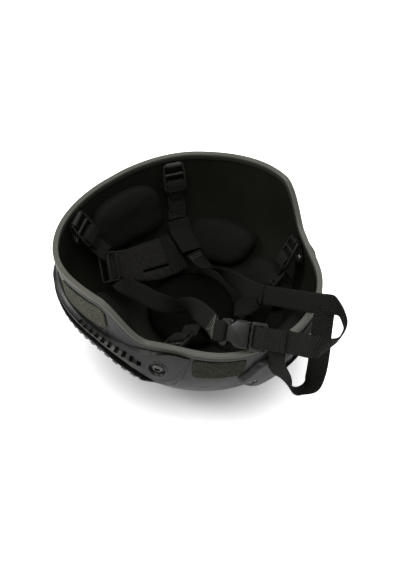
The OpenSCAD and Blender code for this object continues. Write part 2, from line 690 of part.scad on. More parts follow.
// Plug half: a ladder with two bars and a guide tongue
plug_back = 7;
arm_root = -7.2;
plug_window = 4.6;
tongue_end = -24;
tongue_w = 4.4;
tongue_t = 2.8;
module buckle_plug() {
    color("#33332f")
    at_buckle() {
        difference() {
            translate([-plug_back, -buckle_w / 2, -male_t / 2])
                cube([plug_back + plug_end, buckle_w, male_t]);
            translate([-plug_window, -web_w / 2 - face_gap, -male_t])
                cube([2 * plug_window, web_w + 2 * face_gap, 2 * male_t]);
        }
        rotate([90, 0, 0])
            cylinder(d = plug_bar_d, h = buckle_w - 2, center = true);
        translate([tongue_end, -tongue_w / 2, -tongue_t / 2])
            cube([arm_root - tongue_end + 0.4, tongue_w, tongue_t]);
    }
}

// Latch arms: a spring leg each side with a barbed head that shows in the side window
arm_t = 3.8;
function arm_outline() = [[arm_root, 7], [arm_root, 10], [-15.5, 10.2], [-17, 13.2], [-22, 13],
    [-25.5, 9.6], [-25.5, 7.6], [-20, 8.2], [-15, 7.8]];
module latch_arm(s) {
    at_buckle()
        translate([0, 0, -arm_t / 2])
            linear_extrude(arm_t)
                polygon([for (p = arm_outline()) [p[0], s * p[1]]]);
}
module buckle_arm_upper() {
    color("#33332f")
    latch_arm(1);
}
module buckle_arm_lower() {
    color("#33332f")
    latch_arm(-1);
}

// Webbing turned round the plug's bar, its two legs lying on the front strap's end
module buckle_webbing_turn() {
    lift = male_t / 2 + face_gap + web_t / 2;
    half = [[turn_l, leg_n], [14, leg_n], [9, lift], [4.6, lift + 0.2], [0.6, turn_r + 0.3],
        [-0.72 * turn_r, 0.72 * turn_r]];
    turn = concat(half, [[-turn_r, 0]], [for (k = [len(half) - 1 : -1 : 0]) [half[k][0], -half[k][1]]]);
    color("#2b2a27")
    webbing([for (p = turn) [buckle_pt([p[0], 0, p[1]]), across]], n = 2);
}

// Front mount plate: half outline as angle and height, mirrored about the front
plate_half = [[0, 113], [4, 113], [8, 112.8], [13.5, 112], [16.5, 110.8], [18.5, 108], [20.2, 102.5],
    [22.3, 97], [24.3, 92], [24.6, 88], [23.4, 84], [20.5, 75], [17, 67], [13.5, 58], [11, 49], [9.5, 44],
    [7, 41], [3.5, 40.2], [0, 40]];
plate_mid_z = 80;
plate_rings = [[0.2, 1], [0.45, 1], [0.7, 1], [0.93, 1], [0.985, 0.55], [1, 0]];
plate_screws = [for (s = [[-18.5, 84], [18.5, 84], [0, 50]]) [s[0], fit_z(s[0], s[1])]];
screw_d = 4;
screw_seat = 2.2;
screw_head_t = 1.8;
screw_tail = 0.8;
screw_rivet_t = 0.8;
screw_over = 0.1;
function plate_outline() = concat([for (p = plate_half) p],
    [for (k = [len(plate_half) - 2 : -1 : 1]) [-plate_half[k][0], plate_half[k][1]]]);
function plate_pt(p, f, h) = on_shell(p[0] * f, fit_z(p[0], plate_mid_z + (p[1] - plate_mid_z) * f), h);
module mount_plate_skin() {
    front = [for (r = plate_rings) [for (p = plate_outline())
        plate_pt(p, r[0], seat_gap + r[1] * plate_t)]];
    back = [for (f = [0.85, 0.7, 0.53, 0.36, 0.18]) [for (p = plate_outline()) plate_pt(p, f, seat_gap)]];
    pod(concat(front, back),
        plate_pt([0, plate_mid_z], 0, seat_gap + plate_t), plate_pt([0, plate_mid_z], 0, seat_gap));
}
socket_z = fit_z(0, 86);
socket_floor = 1.2;
tether_z = fit_z(0, 60);
module front_mount_plate() {
    color("#3d3e39")
    difference() {
        mount_plate_skin();
        at_shell(0, socket_z)
            translate([-socket_w / 2, -socket_h / 2, socket_floor])
                cube([socket_w, socket_h, 3 * plate_t]);
        for (s = plate_screws)
            at_shell(s[0], s[1]) {
                translate([0, 0, plate_t - screw_seat])
                    cylinder(d = screw_head_d + 1, h = 2 * plate_t);
                translate([0, 0, -plate_t])
                    cylinder(d = screw_d + 2 * bolt_play, h = 3 * plate_t);
            }
        at_shell(0, tether_z)
            translate([0, 0, -plate_t])
                cylinder(d = tether_d, h = 3 * plate_t);
    }
}
module plate_screw() {
    translate([0, 0, plate_t - screw_seat + screw_over])
        cylinder(d = screw_head_d, h = screw_head_t);
    translate([0, 0, -wall - screw_tail])
        cylinder(d = screw_d, h = wall + plate_t - 1.2);
    translate([0, 0, -wall - screw_tail - screw_rivet_t + screw_over / 2])
        cylinder(d = screw_d + 3, h = screw_rivet_t);
}
module mount_plate_screws() {
    color("#5c5d58")
    for (s = plate_screws)
        at_shell(s[0], s[1])
            plate_screw();
}

// Loop patches: rounded four-sided pads; corners as angle and height
side_patch = [[110.5, 149], [82.5, 157], [81.5, 130], [110.5, 124]];
front_patch = [[43.2, 118.5], [21.6, 121], [23, 98.5], [43.2, 94]];
patch_round = 7;
function power_pt(q, m) = let (c = cos(q), s = sin(q))
    pow(pow(abs(c), m) + pow(abs(s), m), -1 / m) * [c, s];
function quad_pt(k, u) = 0.25 * ((1 - u[0]) * (1 + u[1]) * k[0] + (1 + u[0]) * (1 + u[1]) * k[1]
    + (1 + u[0]) * (1 - u[1]) * k[2] + (1 - u[0]) * (1 - u[1]) * k[3]);
patch_sides = 32;
patch_profile = [[0.33, 1], [0.66, 1], [0.97, 1], [1, 0.7], [1, 0], [0.66, 0], [0.33, 0]];
module patch(k) {
    m = quad_pt(k, [0, 0]);
    pod([for (r = patch_profile) [for (j = [0 : patch_sides - 1])
        let (q = quad_pt(k, r[0] * power_pt(j * 360 / patch_sides, patch_round)))
        on_shell(q[0], fit_z(q[0], q[1]), seat_gap + r[1] * patch_t)]],
        on_shell(m[0], fit_z(m[0], m[1]), seat_gap + patch_t), on_shell(m[0], fit_z(m[0], m[1]), seat_gap));
}
module right_side_patch() {
    color("#4d4d45")
    patch(side_patch);
}
module left_side_patch() {
    color("#4d4d45")
    mirror([0, 1, 0])
        patch(side_patch);
}
module right_front_patch() {
    color("#2c2d27")
    patch(front_patch);
}
module left_front_patch() {
    color("#2c2d27")
    mirror([0, 1, 0])
        patch(front_patch);
}

// Foam pads: crowned lobes with drawn-in sides, on the inside of the wall
pad_gap = 1.9;
pad_sides = 28;
pad_profile = [[0.4, 0.985], [0.72, 0.94], [0.9, 0.8], [1, 0.5], [0.97, 0.2], [0.92, 0], [0.5, 0]];
function in_wall(t, laid_z, h) = let (z = fit_z(t, laid_z))
    shell_pt(t, z, wall) - h * shell_n(t, z, wall);
module wall_pad(k, t = pad_t, m = 3) {
    c = quad_pt(k, [0, 0]);
    pod([for (r = pad_profile) [for (j = [0 : pad_sides - 1])
        let (q = quad_pt(k, r[0] * power_pt(j * 360 / pad_sides, m)))
        in_wall(q[0], q[1], pad_gap + r[1] * t)]],
        in_wall(c[0], c[1], pad_gap + t), in_wall(c[0], c[1], pad_gap));
}
right_front_quad = [[88, 60], [47, 63], [47, 25], [92, 25]];
left_front_quad = [[90, 58], [53, 58], [53, 20], [90, 20]];
right_rear_quad = [[139, 76], [91, 76], [97, 30], [139, 29]];
left_rear_quad = [[139, 66], [94, 66], [96, 20], [137, 22]];
front_pad_quad = [[-33, 92], [33, 92], [27, 42], [-27, 42]];
rear_pad_quad = [[156, 131], [199.5, 134], [202.5, 66], [152, 60]];
thin_pad_t = pad_t - 4;
module right_front_pad() {
    color("#171715")
    wall_pad(right_front_quad, thin_pad_t);
}
module left_front_pad() {
    color("#171715")
    mirror([0, 1, 0])
        wall_pad(left_front_quad);
}
module right_rear_pad() {
    color("#171715")
    wall_pad(right_rear_quad);
}
module left_rear_pad() {
    color("#171715")
    mirror([0, 1, 0])
        wall_pad(left_rear_quad);
}
module front_pad() {
    color("#171715")
    wall_pad(front_pad_quad);
}
module rear_pad() {
    color("#171715")
    wall_pad(rear_pad_quad, thin_pad_t);
}

// Crown pad: a round lobe on the bottom of the bowl
function bowl_z(x, y) = let (t = atan2(y, x), u = norm([x, y]) / plan_r(t, wall))
    dome_h - crown_cut - (dome_h - wall) * pow(1 - pow(u, dome_m), 1 / dome_m);
function bowl_n(x, y) = unit([bowl_z(x - 0.5, y) - bowl_z(x + 0.5, y),
    bowl_z(x, y - 0.5) - bowl_z(x, y + 0.5), 1]);
crown_mid = [-16, 14];
function in_bowl(r, q, h) = let (x = crown_mid[0] + r * cos(q), y = crown_mid[1] + r * sin(q))
    [x, y, bowl_z(x, y)] + h * bowl_n(x, y);
module crown_pad() {
    color("#0f0f0d")
    pod([for (r = pad_profile) [for (j = [0 : pad_sides - 1])
        in_bowl(r[0] * crown_pad_d / 2, j * 360 / pad_sides, pad_gap + r[1] * pad_t)]],
        in_bowl(0, 0, pad_gap + pad_t), in_bowl(0, 0, pad_gap));
}

// Hook discs between pads and wall
disc_t = 0.6;
disc_in = 1;
disc_places = [[70, 44], [-71, 40], [116, 54], [-116, 46], [16, 68], [-16, 68], [166, 92], [-165, 92]];
module pad_hook_discs() {
    color("#20201d")
    union() {
        for (p = disc_places)
            at_shell(p[0], fit_z(p[0], p[1]), wall)
                translate([0, 0, -disc_in - disc_t])
                    cylinder(d = disc_d, h = disc_t);
        translate([0, 0, wall - crown_cut + disc_in])
            cylinder(d = disc_d, h = disc_t);
    }
}

shell();
edge_trim();
left_rail();
right_rail();
rail_bolts();
harness_nuts();
strap_brackets();
front_mount_plate();
mount_plate_screws();
left_side_patch();
right_side_patch();
left_front_patch();
right_front_patch();
crown_pad();
front_pad();
rear_pad();
left_front_pad();
left_rear_pad();
right_front_pad();
right_rear_pad();
pad_hook_discs();
rear_left_adjuster();
rear_right_adjuster();
front_left_adjuster();
front_right_adjuster();
rear_left_webbing_end();
rear_right_webbing_end();
front_left_webbing_end();
front_right_webbing_end();
rear_left_strap();
rear_right_strap();
front_left_strap();
front_right_strap();
nape_band();
nape_sleeve();
nape_slider();
left_chin_strap();
right_chin_strap();
chin_front_strap();
under_chin_strap();
buckle_receiver();
buckle_plug();
buckle_arm_upper();
buckle_arm_lower();
buckle_webbing_turn();
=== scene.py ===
"""Dresses the combat helmet's frame: fine surfaces, woven straps, pads and hardware, in metres."""

import math

import bmesh
import bpy
import numpy as np
from bpy.props import FloatProperty, FloatVectorProperty, PointerProperty
from bpy.types import Operator, Panel, PropertyGroup
from mathutils import Matrix, Vector


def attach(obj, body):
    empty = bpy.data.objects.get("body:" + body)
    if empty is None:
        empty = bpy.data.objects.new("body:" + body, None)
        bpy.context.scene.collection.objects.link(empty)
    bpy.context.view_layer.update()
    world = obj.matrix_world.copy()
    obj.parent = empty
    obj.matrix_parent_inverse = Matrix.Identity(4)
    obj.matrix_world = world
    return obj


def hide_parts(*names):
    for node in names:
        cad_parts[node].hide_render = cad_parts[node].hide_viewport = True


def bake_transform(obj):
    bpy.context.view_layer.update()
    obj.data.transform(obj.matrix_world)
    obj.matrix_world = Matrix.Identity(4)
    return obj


bl_info = {
    "name": "Combat helmet dressing",
    "version": (1, 0, 0),
    "blender": (4, 5, 0),
    "location": "3D View > Sidebar > Helmet",
    "description": "Builds the finished surfaces of a combat helmet on its frame",
    "category": "Object",
}

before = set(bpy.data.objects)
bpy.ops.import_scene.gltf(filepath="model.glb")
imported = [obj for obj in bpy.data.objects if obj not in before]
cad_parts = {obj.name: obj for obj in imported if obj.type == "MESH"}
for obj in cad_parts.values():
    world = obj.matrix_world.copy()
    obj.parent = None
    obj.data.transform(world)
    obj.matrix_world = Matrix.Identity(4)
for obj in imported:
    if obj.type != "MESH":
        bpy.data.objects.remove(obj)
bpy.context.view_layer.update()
MM = 0.001

# Shell, in millimetres and in degrees from the front, as in the part's source
FRONT_R, REAR_R, SIDE_R, DOME_H, WALL = 141.0, 128.0, 127.5, 114.0, 3.2
FRONT_H, EAR_H, REAR_H, TRIM_TOP = 127.6, 164.6, 152.6, 1.4
DOME_M, CROWN_CUT, FOOT_Z = 2.2, 0.35, 45.0
LIP_T, LIP_DEPTH, FIT, FACE, SEAT = 1.0, 6.0, 0.25, 0.3, 0.35
# Steps of the rim, as middle and span, and bells of the wall, as height, middle and width
EAR_RISE, NAPE_FALL = (74, 23), (110, 45)
EAR_FLARE, TEMPLE_PINCH = (11.0, 128, 32), (8.0, 53, 18)

# Harness corners: angle, bolt height, bar shift, bar rise, lean and tilt
CORNERS = {
    "rear_left": (-149, 117, -1.5, 27, -11, 21),
    "rear_right": (149, 117, -5.5, 27, 0, 12),
    "front_left": (-58, 100, 8, 16, 25, 66),
    "front_right": (58, 100, 10, 17, -15, 30),
}
RIGHT_BOLTS = [CORNERS[corner][:2] for corner in ("rear_right", "front_right")]
WEB_W, WEB_T, LOCK_T, LOCK_L, BAR_D = 20.0, 1.6, 4.0, 42.0, 3.4
NAPE_T, SLEEVE_W, SLEEVE_T, SLIDER_INNER = 2.6, 26.0, 3.4, 29.6
NAPE_WIDTHS = (28.6, 30.6, 37.8, 45.0, 45.0, 43.2)
BRACKET_T, BRACKET_IN = 1.4, 1.55
EYE_R = BAR_D / 2 + FACE + BRACKET_T
BAR_IN = WALL + BRACKET_IN + BRACKET_T + EYE_R - 0.2
BAR_YS, FRAME_END, WEB_END_Y = (-11.0, -22.0), -30.0, -50.0


def sizes():
    """The user's sizes, kept on the scene."""
    return bpy.context.scene.helmet_sizes


def colours():
    """The user's colours, kept on the scene."""
    return bpy.context.scene.helmet_colours


# Formulas of the shell
def unit(v):
    """Vectors at length 1."""
    v = np.asarray(v, float)
    return v / np.linalg.norm(v, axis=-1, keepdims=True)


def smooth(u):
    """Three u squared less two u cubed, between 0 and 1."""
    c = np.clip(u, 0, 1)
    return c * c * (3 - 2 * c)


def rim_z(t):
    """Rim height at an angle: low in front, a smooth step up to the ear, one down to the nape."""
    up, down = (smooth((np.abs(t) - mid) / span + 0.5) for mid, span in (EAR_RISE, NAPE_FALL))
    return FRONT_H + (EAR_H - FRONT_H) * up - (EAR_H - REAR_H) * down


def bell(a, height, middle, width):
    """Height times e to the minus square of the distance from the middle in widths."""
    return height * np.exp(-(((a - middle) / width) ** 2))


def plan_r(q, i):
    """Radius of the plan drawn in by i: half an ellipse in front and a shorter half behind."""
    c, s = np.cos(q), np.sin(q)
    return 1 / np.sqrt((c / (np.where(c > 0, FRONT_R, REAR_R) - i)) ** 2 + (s / (SIDE_R - i)) ** 2)


def wall_point(t, z, i=0.0):
    """Point of the wall drawn in by i: the plan, a power curve in height and a growing flare."""
    t, z = np.broadcast_arrays(np.asarray(t, float), np.asarray(z, float))
    a, q = np.abs((np.abs(t) + 180) % 360 - 180), np.radians(t)
    u = np.clip((DOME_H - z - CROWN_CUT) / (DOME_H - i), 0, 1)
    rise = (1 - u ** DOME_M) ** (1 / DOME_M)
    flare = bell(a, *EAR_FLARE) - bell(a, *TEMPLE_PINCH)
    r = plan_r(q, i) * rise + flare * smooth((z - FOOT_Z) / (rim_z(a) + TRIM_TOP - FOOT_Z))
    return np.stack([r * np.cos(q), r * np.sin(q), z], -1)


def wall_normal(t, z, i=0.0):
    """Outward normal: the cross product of the steps along angle and height."""
    t, z = np.asarray(t, float), np.asarray(z, float)
    return unit(np.cross(wall_point(t + 0.5, z, i) - wall_point(t - 0.5, z, i),
                         wall_point(t, z + 0.5, i) - wall_point(t, z - 0.5, i)))


def on_wall(t, z, h):
    """Point h above the outer face."""
    return wall_point(t, z) + np.asarray(h)[..., None] * wall_normal(t, z)


def in_wall(t, z, h):
    """Point h inside the inner face."""
    return wall_point(t, z, WALL) - np.asarray(h)[..., None] * wall_normal(t, z, WALL)


def matrix(x, y, z, at):
    """Four by four matrix of three directions and a place."""
    m = np.eye(4)
    m[:3, 0], m[:3, 1], m[:3, 2], m[:3, 3] = x, y, z, at
    return m


def wall_frame(t, z):
    """Matrix of the outer face's tangent, upward and outward directions at a place."""
    n = wall_normal(t, z)
    e = unit(np.cross([0, 0, 1], n))
    return matrix(e, np.cross(n, e), n, wall_point(t, z))


def move(x=0.0, y=0.0, z=0.0):
    """Matrix of a shift."""
    return np.array(Matrix.Translation((x, y, z)))


def turn(angle, axis):
    """Matrix of a turn in degrees about X, Y or Z."""
    return np.array(Matrix.Rotation(math.radians(angle), 4, axis))


def put(m, v):
    """Points carried by a matrix."""
    v = np.asarray(v, float)
    return v @ m[:3, :3].T + m[:3, 3]


def lock_matrix(corner):
    """Place of an adjuster: X along its bracket's eye, and the adjuster along minus Y."""
    angle, height, shift, rise, lean, tilt = CORNERS[corner]
    eye = wall_frame(angle, height) @ move(shift, rise, -BAR_IN) @ turn(lean, "Z")
    return eye @ turn(tilt, "X")


# Steps of a rounded corner, of a route's span, of a band's section and of a stitch's section
CORNER_STEPS, SPAN_STEPS, SECTION_STEPS, GRAIN_SIDES = 6, 16, 11, 5
# Weave of the webbing in millimetres: half a herringbone column, its ribs and its finer yarns
HERRINGBONE_W, RIB_PITCH, YARN_PITCH = 3.4, 2.9, 1.4
# A stitch's grain: places in half lengths, then rise and half width in girths
GRAIN = np.array([(-1, -0.3, 0.125), (-0.6, 0.45, 0.5), (0.6, 0.45, 0.5), (1, -0.3, 0.125)])


# Meshes
def grid_faces(m, n, ring=False):
    """Quads between m rings of n points, and from the last back to the first if ring."""
    i, j = np.meshgrid(np.arange(m if ring else m - 1), np.arange(n), indexing="ij")
    i2, j2 = (i + 1) % m, (j + 1) % n
    return np.stack([i * n + j, i * n + j2, i2 * n + j2, i2 * n + j], -1).reshape(-1, 4)


def fan(centre, ring, flip=False):
    """Triangles from a centre to a closed ring of points."""
    a, b = ring, np.roll(ring, -1)
    c = np.full(len(ring), centre)
    return np.stack([c, b, a] if flip else [c, a, b], -1)


def skin(rings, first=None, last=None, ring=False):
    """Closed skin through an array of rings, with a point or a flat cap at each open end."""
    rings = np.asarray(rings, float)
    m, n = rings.shape[:2]
    points, faces = [rings.reshape(-1, 3)], grid_faces(m, n, ring).tolist()
    if not ring:
        ends = [rings[0].mean(0) if first is None else first,
                rings[-1].mean(0) if last is None else last]
        points.append(np.array(ends, float))
        faces += fan(m * n, np.arange(n), True).tolist()
        faces += fan(m * n + 1, (m - 1) * n + np.arange(n)).tolist()
    return np.concatenate(points), faces


def outward(points, faces):
    """The faces turned round if the closed skin's volume comes out negative."""
    tris = np.array([(f[0], f[k], f[k + 1]) for f in faces for k in range(1, len(f) - 1)])
    a, b, c = (points[tris[:, k]] for k in range(3))
    volume = np.einsum("ij,ij->i", a, np.cross(b, c)).sum()
    return faces if volume > 0 else [tuple(f)[::-1] for f in faces]


def joined(*parts):
    """Several skins as one mesh."""
    points, faces, start = [], [], 0
    for p, f in parts:
        points.append(np.asarray(p, float))
        faces += [tuple(int(v) + start for v in q) for q in outward(points[-1], f)]
        start += len(p)
    return np.concatenate(points), faces


def shaded(mesh, sharp):
    """The mesh shaded smooth, but for edges sharper than an angle."""
    mesh.shade_smooth()
    mesh.set_sharp_from_angle(angle=math.radians(sharp))
    return mesh


def new_mesh(name, points, faces, uv=None, sharp=35.0):
    """Mesh from points in millimetres, with a UV map in metres if one is given."""
    faces = outward(points, faces)
    mesh = bpy.data.meshes.new(name)
    mesh.from_pydata((np.asarray(points) * MM).tolist(), [], [tuple(map(int, f)) for f in faces])
    if uv is not None:
        index = np.empty(len(mesh.loops), int)
        mesh.loops.foreach_get("vertex_index", index)
        layer = mesh.uv_layers.new(name="weave")
        layer.data.foreach_set("uv", (np.asarray(uv)[index] * MM).astype(np.float32).ravel())
    mesh.validate()
    return shaded(mesh, sharp)


def in_scene(name, data):
    """New object in the scene's collection."""
    ob = bpy.data.objects.new(name, data)
    bpy.context.scene.collection.objects.link(ob)
    return ob


def dressed(mesh, mat):
    """The mesh with that one material."""
    mesh.materials.clear()
    mesh.materials.append(mat)
    return mesh


def new_piece(name, mesh, key, node=(), body="helmet"):
    """Piece at the origin that rides on a body and stands for its nodes."""
    piece = in_scene(name, dressed(mesh, material(key)))
    if body:
        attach(piece, body)
    if node:
        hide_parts(*([node] if isinstance(node, str) else node))
    return piece


def skin_piece(name, part, key, node=(), body="helmet", sharp=35.0):
    """Piece from a closed skin's points, faces and, on cloth, UV map."""
    points, faces, *uv = part
    return new_piece(name, new_mesh(name, points, faces, *uv, sharp=sharp), key, node, body)


def solved(ob):
    """New mesh of an object as its modifiers leave it."""
    bpy.context.view_layer.update()
    graph = bpy.context.evaluated_depsgraph_get()
    return bpy.data.meshes.new_from_object(ob.evaluated_get(graph))


def apply_modifiers(piece):
    """Puts what the modifiers make into the piece's mesh."""
    mesh = solved(piece)
    piece.modifiers.clear()
    old, piece.data = piece.data, mesh
    bpy.data.meshes.remove(old)


def bevel(piece, width, angle):
    """Rounds the piece's edges that are sharper than an angle."""
    b = piece.modifiers.new("edges", "BEVEL")
    b.width, b.segments, b.limit_method = width * MM, 2, "ANGLE"
    b.angle_limit, b.harden_normals, b.use_clamp_overlap = math.radians(angle), True, True


def cut(piece, part):
    """Takes a closed skin away from the piece, which keeps its one material."""
    mat = piece.data.materials[0]
    tool = in_scene("cutter", new_mesh("cutter", *part))
    b = piece.modifiers.new("cut", "BOOLEAN")
    b.operation, b.object, b.solver = "DIFFERENCE", tool, "EXACT"
    apply_modifiers(piece)
    bpy.data.meshes.remove(tool.data)
    dressed(piece.data, mat)


def about(half):
    """Range from minus half to half."""
    return -half, half


def rectangle(x0, x1, half):
    """Corners of a rectangle that is even about X."""
    return [(x0, -half), (x1, -half), (x1, half), (x0, half)]


def box_part(x, y, z):
    """Closed box between two values on each axis."""
    corners = np.array([(x[0], y[0]), (x[1], y[0]), (x[1], y[1]), (x[0], y[1])])
    return skin([np.c_[corners, np.full(4, h)] for h in z])


def circle(n):
    """Angles of n even steps round a circle."""
    return np.arange(n) * 2 * np.pi / n


def swept(profile, sides):
    """Rings of radius and height pairs carried round Z."""
    p, q = np.asarray(profile, float), circle(sides)
    return np.stack([p[:, :1] * np.cos(q), p[:, :1] * np.sin(q), np.repeat(p[:, 1:], sides, 1)], -1)


def turned(profile, sides=48):
    """Surface of revolution about Z, its ends closed on the axis."""
    return skin(swept(profile, sides), (0, 0, profile[0][1]), (0, 0, profile[-1][1]))


def rod(half, a, b, sides=20):
    """Bar along X from minus half to half, of an oval section a by b."""
    y, z = a / 2 * np.cos(circle(sides)), b / 2 * np.sin(circle(sides))
    return skin([np.c_[np.full(sides, x), y, z] for x in about(half)])


def rounded(corners, radius):
    """Outline with each corner a curve from one side to the next, pulled to the corner."""
    p = np.asarray(corners, float)
    back, ahead = np.roll(p, 1, 0) - p, np.roll(p, -1, 0) - p
    lb, la = np.linalg.norm(back, axis=1), np.linalg.norm(ahead, axis=1)
    r = np.minimum(radius, 0.48 * np.minimum(lb, la))
    a, b = p + back * (r / lb)[:, None], p + ahead * (r / la)[:, None]
    s = np.linspace(0, 1, CORNER_STEPS)[None, :, None]
    arc = (1 - s) ** 2 * a[:, None] + 2 * s * (1 - s) * p[:, None] + s * s * b[:, None]
    return arc.reshape(-1, 2)


def plate_part(outlines, thick, edge):
    """Plate with rounded edges about its plane: a rim and, after it, its windows."""
    curve = bpy.data.curves.new("outline", "CURVE")
    curve.dimensions, curve.fill_mode = "2D", "BOTH"
    for o in outlines:
        s = curve.splines.new("POLY")
        s.points.add(len(o) - 1)
        s.points.foreach_set("co", np.c_[o, np.zeros(len(o)), np.ones(len(o))].ravel())
        s.use_cyclic_u = True
    curve.extrude, curve.offset = thick / 2 - edge, -edge
    curve.bevel_depth, curve.bevel_resolution = edge, 2
    holder = in_scene("outline", curve)
    mesh = solved(holder)
    bm = bmesh.new()
    bm.from_mesh(mesh)
    bmesh.ops.remove_doubles(bm, verts=bm.verts, dist=0.002)
    bmesh.ops.recalc_face_normals(bm, faces=bm.faces)
    bm.verts.index_update()
    points = np.array([v.co[:] for v in bm.verts])
    faces = [tuple(v.index for v in f.verts) for f in bm.faces]
    bm.free()
    bpy.data.objects.remove(holder)
    bpy.data.curves.remove(curve)
    bpy.data.meshes.remove(mesh)
    return points, faces


def placed(m, part):
    """A part carried by a matrix."""
    return put(m, part[0]), part[1]


# Materials
def add(tree, kind, inputs=None, **settings):
    """New node with its settings and inputs; an input is a value or another node's output."""
    n = tree.nodes.new(kind)
    for k, v in settings.items():
        setattr(n, k, v)
    for k, v in (inputs or {}).items():
        if isinstance(v, bpy.types.NodeSocket):
            tree.links.new(v, n.inputs[k])
        else:
            n.inputs[k].default_value = v
    return n


def calc(tree, op, *values):
    """Output of a Math node."""
    return add(tree, "ShaderNodeMath", dict(enumerate(values)), operation=op).outputs[0]


def noise(tree, where, scale, detail=2.0, rough=0.5):
    """Noise of about one feature in 1/scale of a metre."""
    return add(tree, "ShaderNodeTexNoise", {"Vector": where, "Scale": scale, "Detail": detail,
                                            "Roughness": rough}).outputs["Fac"]


def spread(tree, value, low, high, to_low=0.0, to_high=1.0):
    """A value's range stretched to another."""
    ends = {0: value, 1: low, 2: high, 3: to_low, 4: to_high}
    return add(tree, "ShaderNodeMapRange", ends).outputs[0]


def blend_colour(tree, factor, a, b):
    """Colour between a and b."""
    n = add(tree, "ShaderNodeMix", {0: factor}, data_type="RGBA")
    for k, c in ((6, a), (7, b)):
        if isinstance(c, bpy.types.NodeSocket):
            tree.links.new(c, n.inputs[k])
        else:
            n.inputs[k].default_value = (*c, 1)
    return n.outputs[2]


def finish_material(name, colour, rough, height, depth, **sockets):
    """Principled material from functions of its tree and place: colour, roughness and bump."""
    mat = bpy.data.materials.new(name)
    mat.use_nodes = True
    tree = mat.node_tree
    shader = tree.nodes["Principled BSDF"]
    coord = add(tree, "ShaderNodeTexCoord")
    where, weave = coord.outputs["Object"], coord.outputs["UV"]
    tree.links.new(colour(tree, where, weave), shader.inputs["Base Color"])
    tree.links.new(rough(tree, where, weave), shader.inputs["Roughness"])
    bump = add(tree, "ShaderNodeBump", {"Height": height(tree, where, weave),
                                        "Distance": depth * MM, "Strength": 1.0})
    tree.links.new(bump.outputs[0], shader.inputs["Normal"])
    for k, v in sockets.items():
        shader.inputs[k.replace("_", " ")].default_value = v
    return mat


def shade(c, k):
    """A colour made k times as light."""
    return tuple(min(1.0, v * k) for v in c)


def moulded(name, colour, rough, grain, grain_size, wear, second=None, **sockets):
    """Moulded plastic: fine grain, faint clouding, paler rubbed edges, a second shade if asked."""
    def hue(tree, where, weave):
        cloud = spread(tree, noise(tree, where, 22, 4), 0.35, 0.65)
        base = blend_colour(tree, cloud, shade(colour, 0.9), shade(colour, 1.1))
        edge = spread(tree, add(tree, "ShaderNodeNewGeometry").outputs["Pointiness"], 0.515, 0.6)
        rub = calc(tree, "MULTIPLY", edge, spread(tree, noise(tree, where, 160, 3), 0.4, 0.65))
        base = blend_colour(tree, calc(tree, "MULTIPLY", rub, wear), base, shade(colour, 3.2))
        if second is None:
            return base
        # Painted shade: where the mesh's second attribute is set, the colour goes to its second
        # share, which on the trim darkens the lips
        share = add(tree, "ShaderNodeAttribute", attribute_name="second").outputs["Fac"]
        return blend_colour(tree, share, base, shade(colour, second))

    def dull(tree, where, weave):
        return spread(tree, noise(tree, where, 90, 4), 0.3, 0.7, rough - 0.06, rough + 0.07)

    def relief(tree, where, weave):
        fine = noise(tree, where, 1000 / grain_size, 2)
        return calc(tree, "ADD", fine, calc(tree, "MULTIPLY", noise(tree, where, 60, 2), 0.6))
    return finish_material(name, hue, dull, relief, grain, **sockets)


def woven(name, colour):
    """Herringbone webbing: slanting yarns that turn back in columns, crossed by finer ones."""
    def pattern(tree, weave):
        xy = add(tree, "ShaderNodeSeparateXYZ", {0: weave})
        along, across = xy.outputs[0], xy.outputs[1]
        zig = calc(tree, "PINGPONG", across, HERRINGBONE_W * MM)
        slant = calc(tree, "ADD", along, calc(tree, "MULTIPLY", zig, 0.9))
        rib = calc(tree, "SINE", calc(tree, "MULTIPLY", slant, 2 * math.pi / (RIB_PITCH * MM)))
        yarn = calc(tree, "SINE", calc(tree, "MULTIPLY", across, 2 * math.pi / (YARN_PITCH * MM)))
        rib, yarn = calc(tree, "MULTIPLY", rib, 0.3), calc(tree, "MULTIPLY", yarn, 0.2)
        return calc(tree, "ADD", rib, yarn)

    def hue(tree, where, weave):
        # Painted highlight and painted shade: the colour follows the weave's relief, pale on the
        # yarns' crests and near black in the grooves between them
        ribs = spread(tree, pattern(tree, weave), -0.45, 0.45)
        base = blend_colour(tree, ribs, shade(colour, 0.1), shade(colour, 2.9))
        worn = spread(tree, noise(tree, where, 45, 3), 0.4, 0.75)
        base = blend_colour(tree, calc(tree, "MULTIPLY", worn, 0.3), base, shade(colour, 1.8))
        fuzz = spread(tree, noise(tree, where, 900, 3), 0.3, 0.7, 0.75, 1.2)
        grey = add(tree, "ShaderNodeCombineColor", {0: fuzz, 1: fuzz, 2: fuzz}).outputs[0]
        return add(tree, "ShaderNodeMix", {0: 1.0, 6: base, 7: grey}, data_type="RGBA",
                   blend_type="MULTIPLY").outputs[2]

    def dull(tree, where, weave):
        return spread(tree, pattern(tree, weave), -0.5, 0.5, 0.95, 0.68)

    def relief(tree, where, weave):
        fibres = calc(tree, "MULTIPLY", noise(tree, where, 1500, 2), 0.35)
        return calc(tree, "ADD", pattern(tree, weave), fibres)
    return finish_material(name, hue, dull, relief, 0.5, Specular_IOR_Level=0.17)


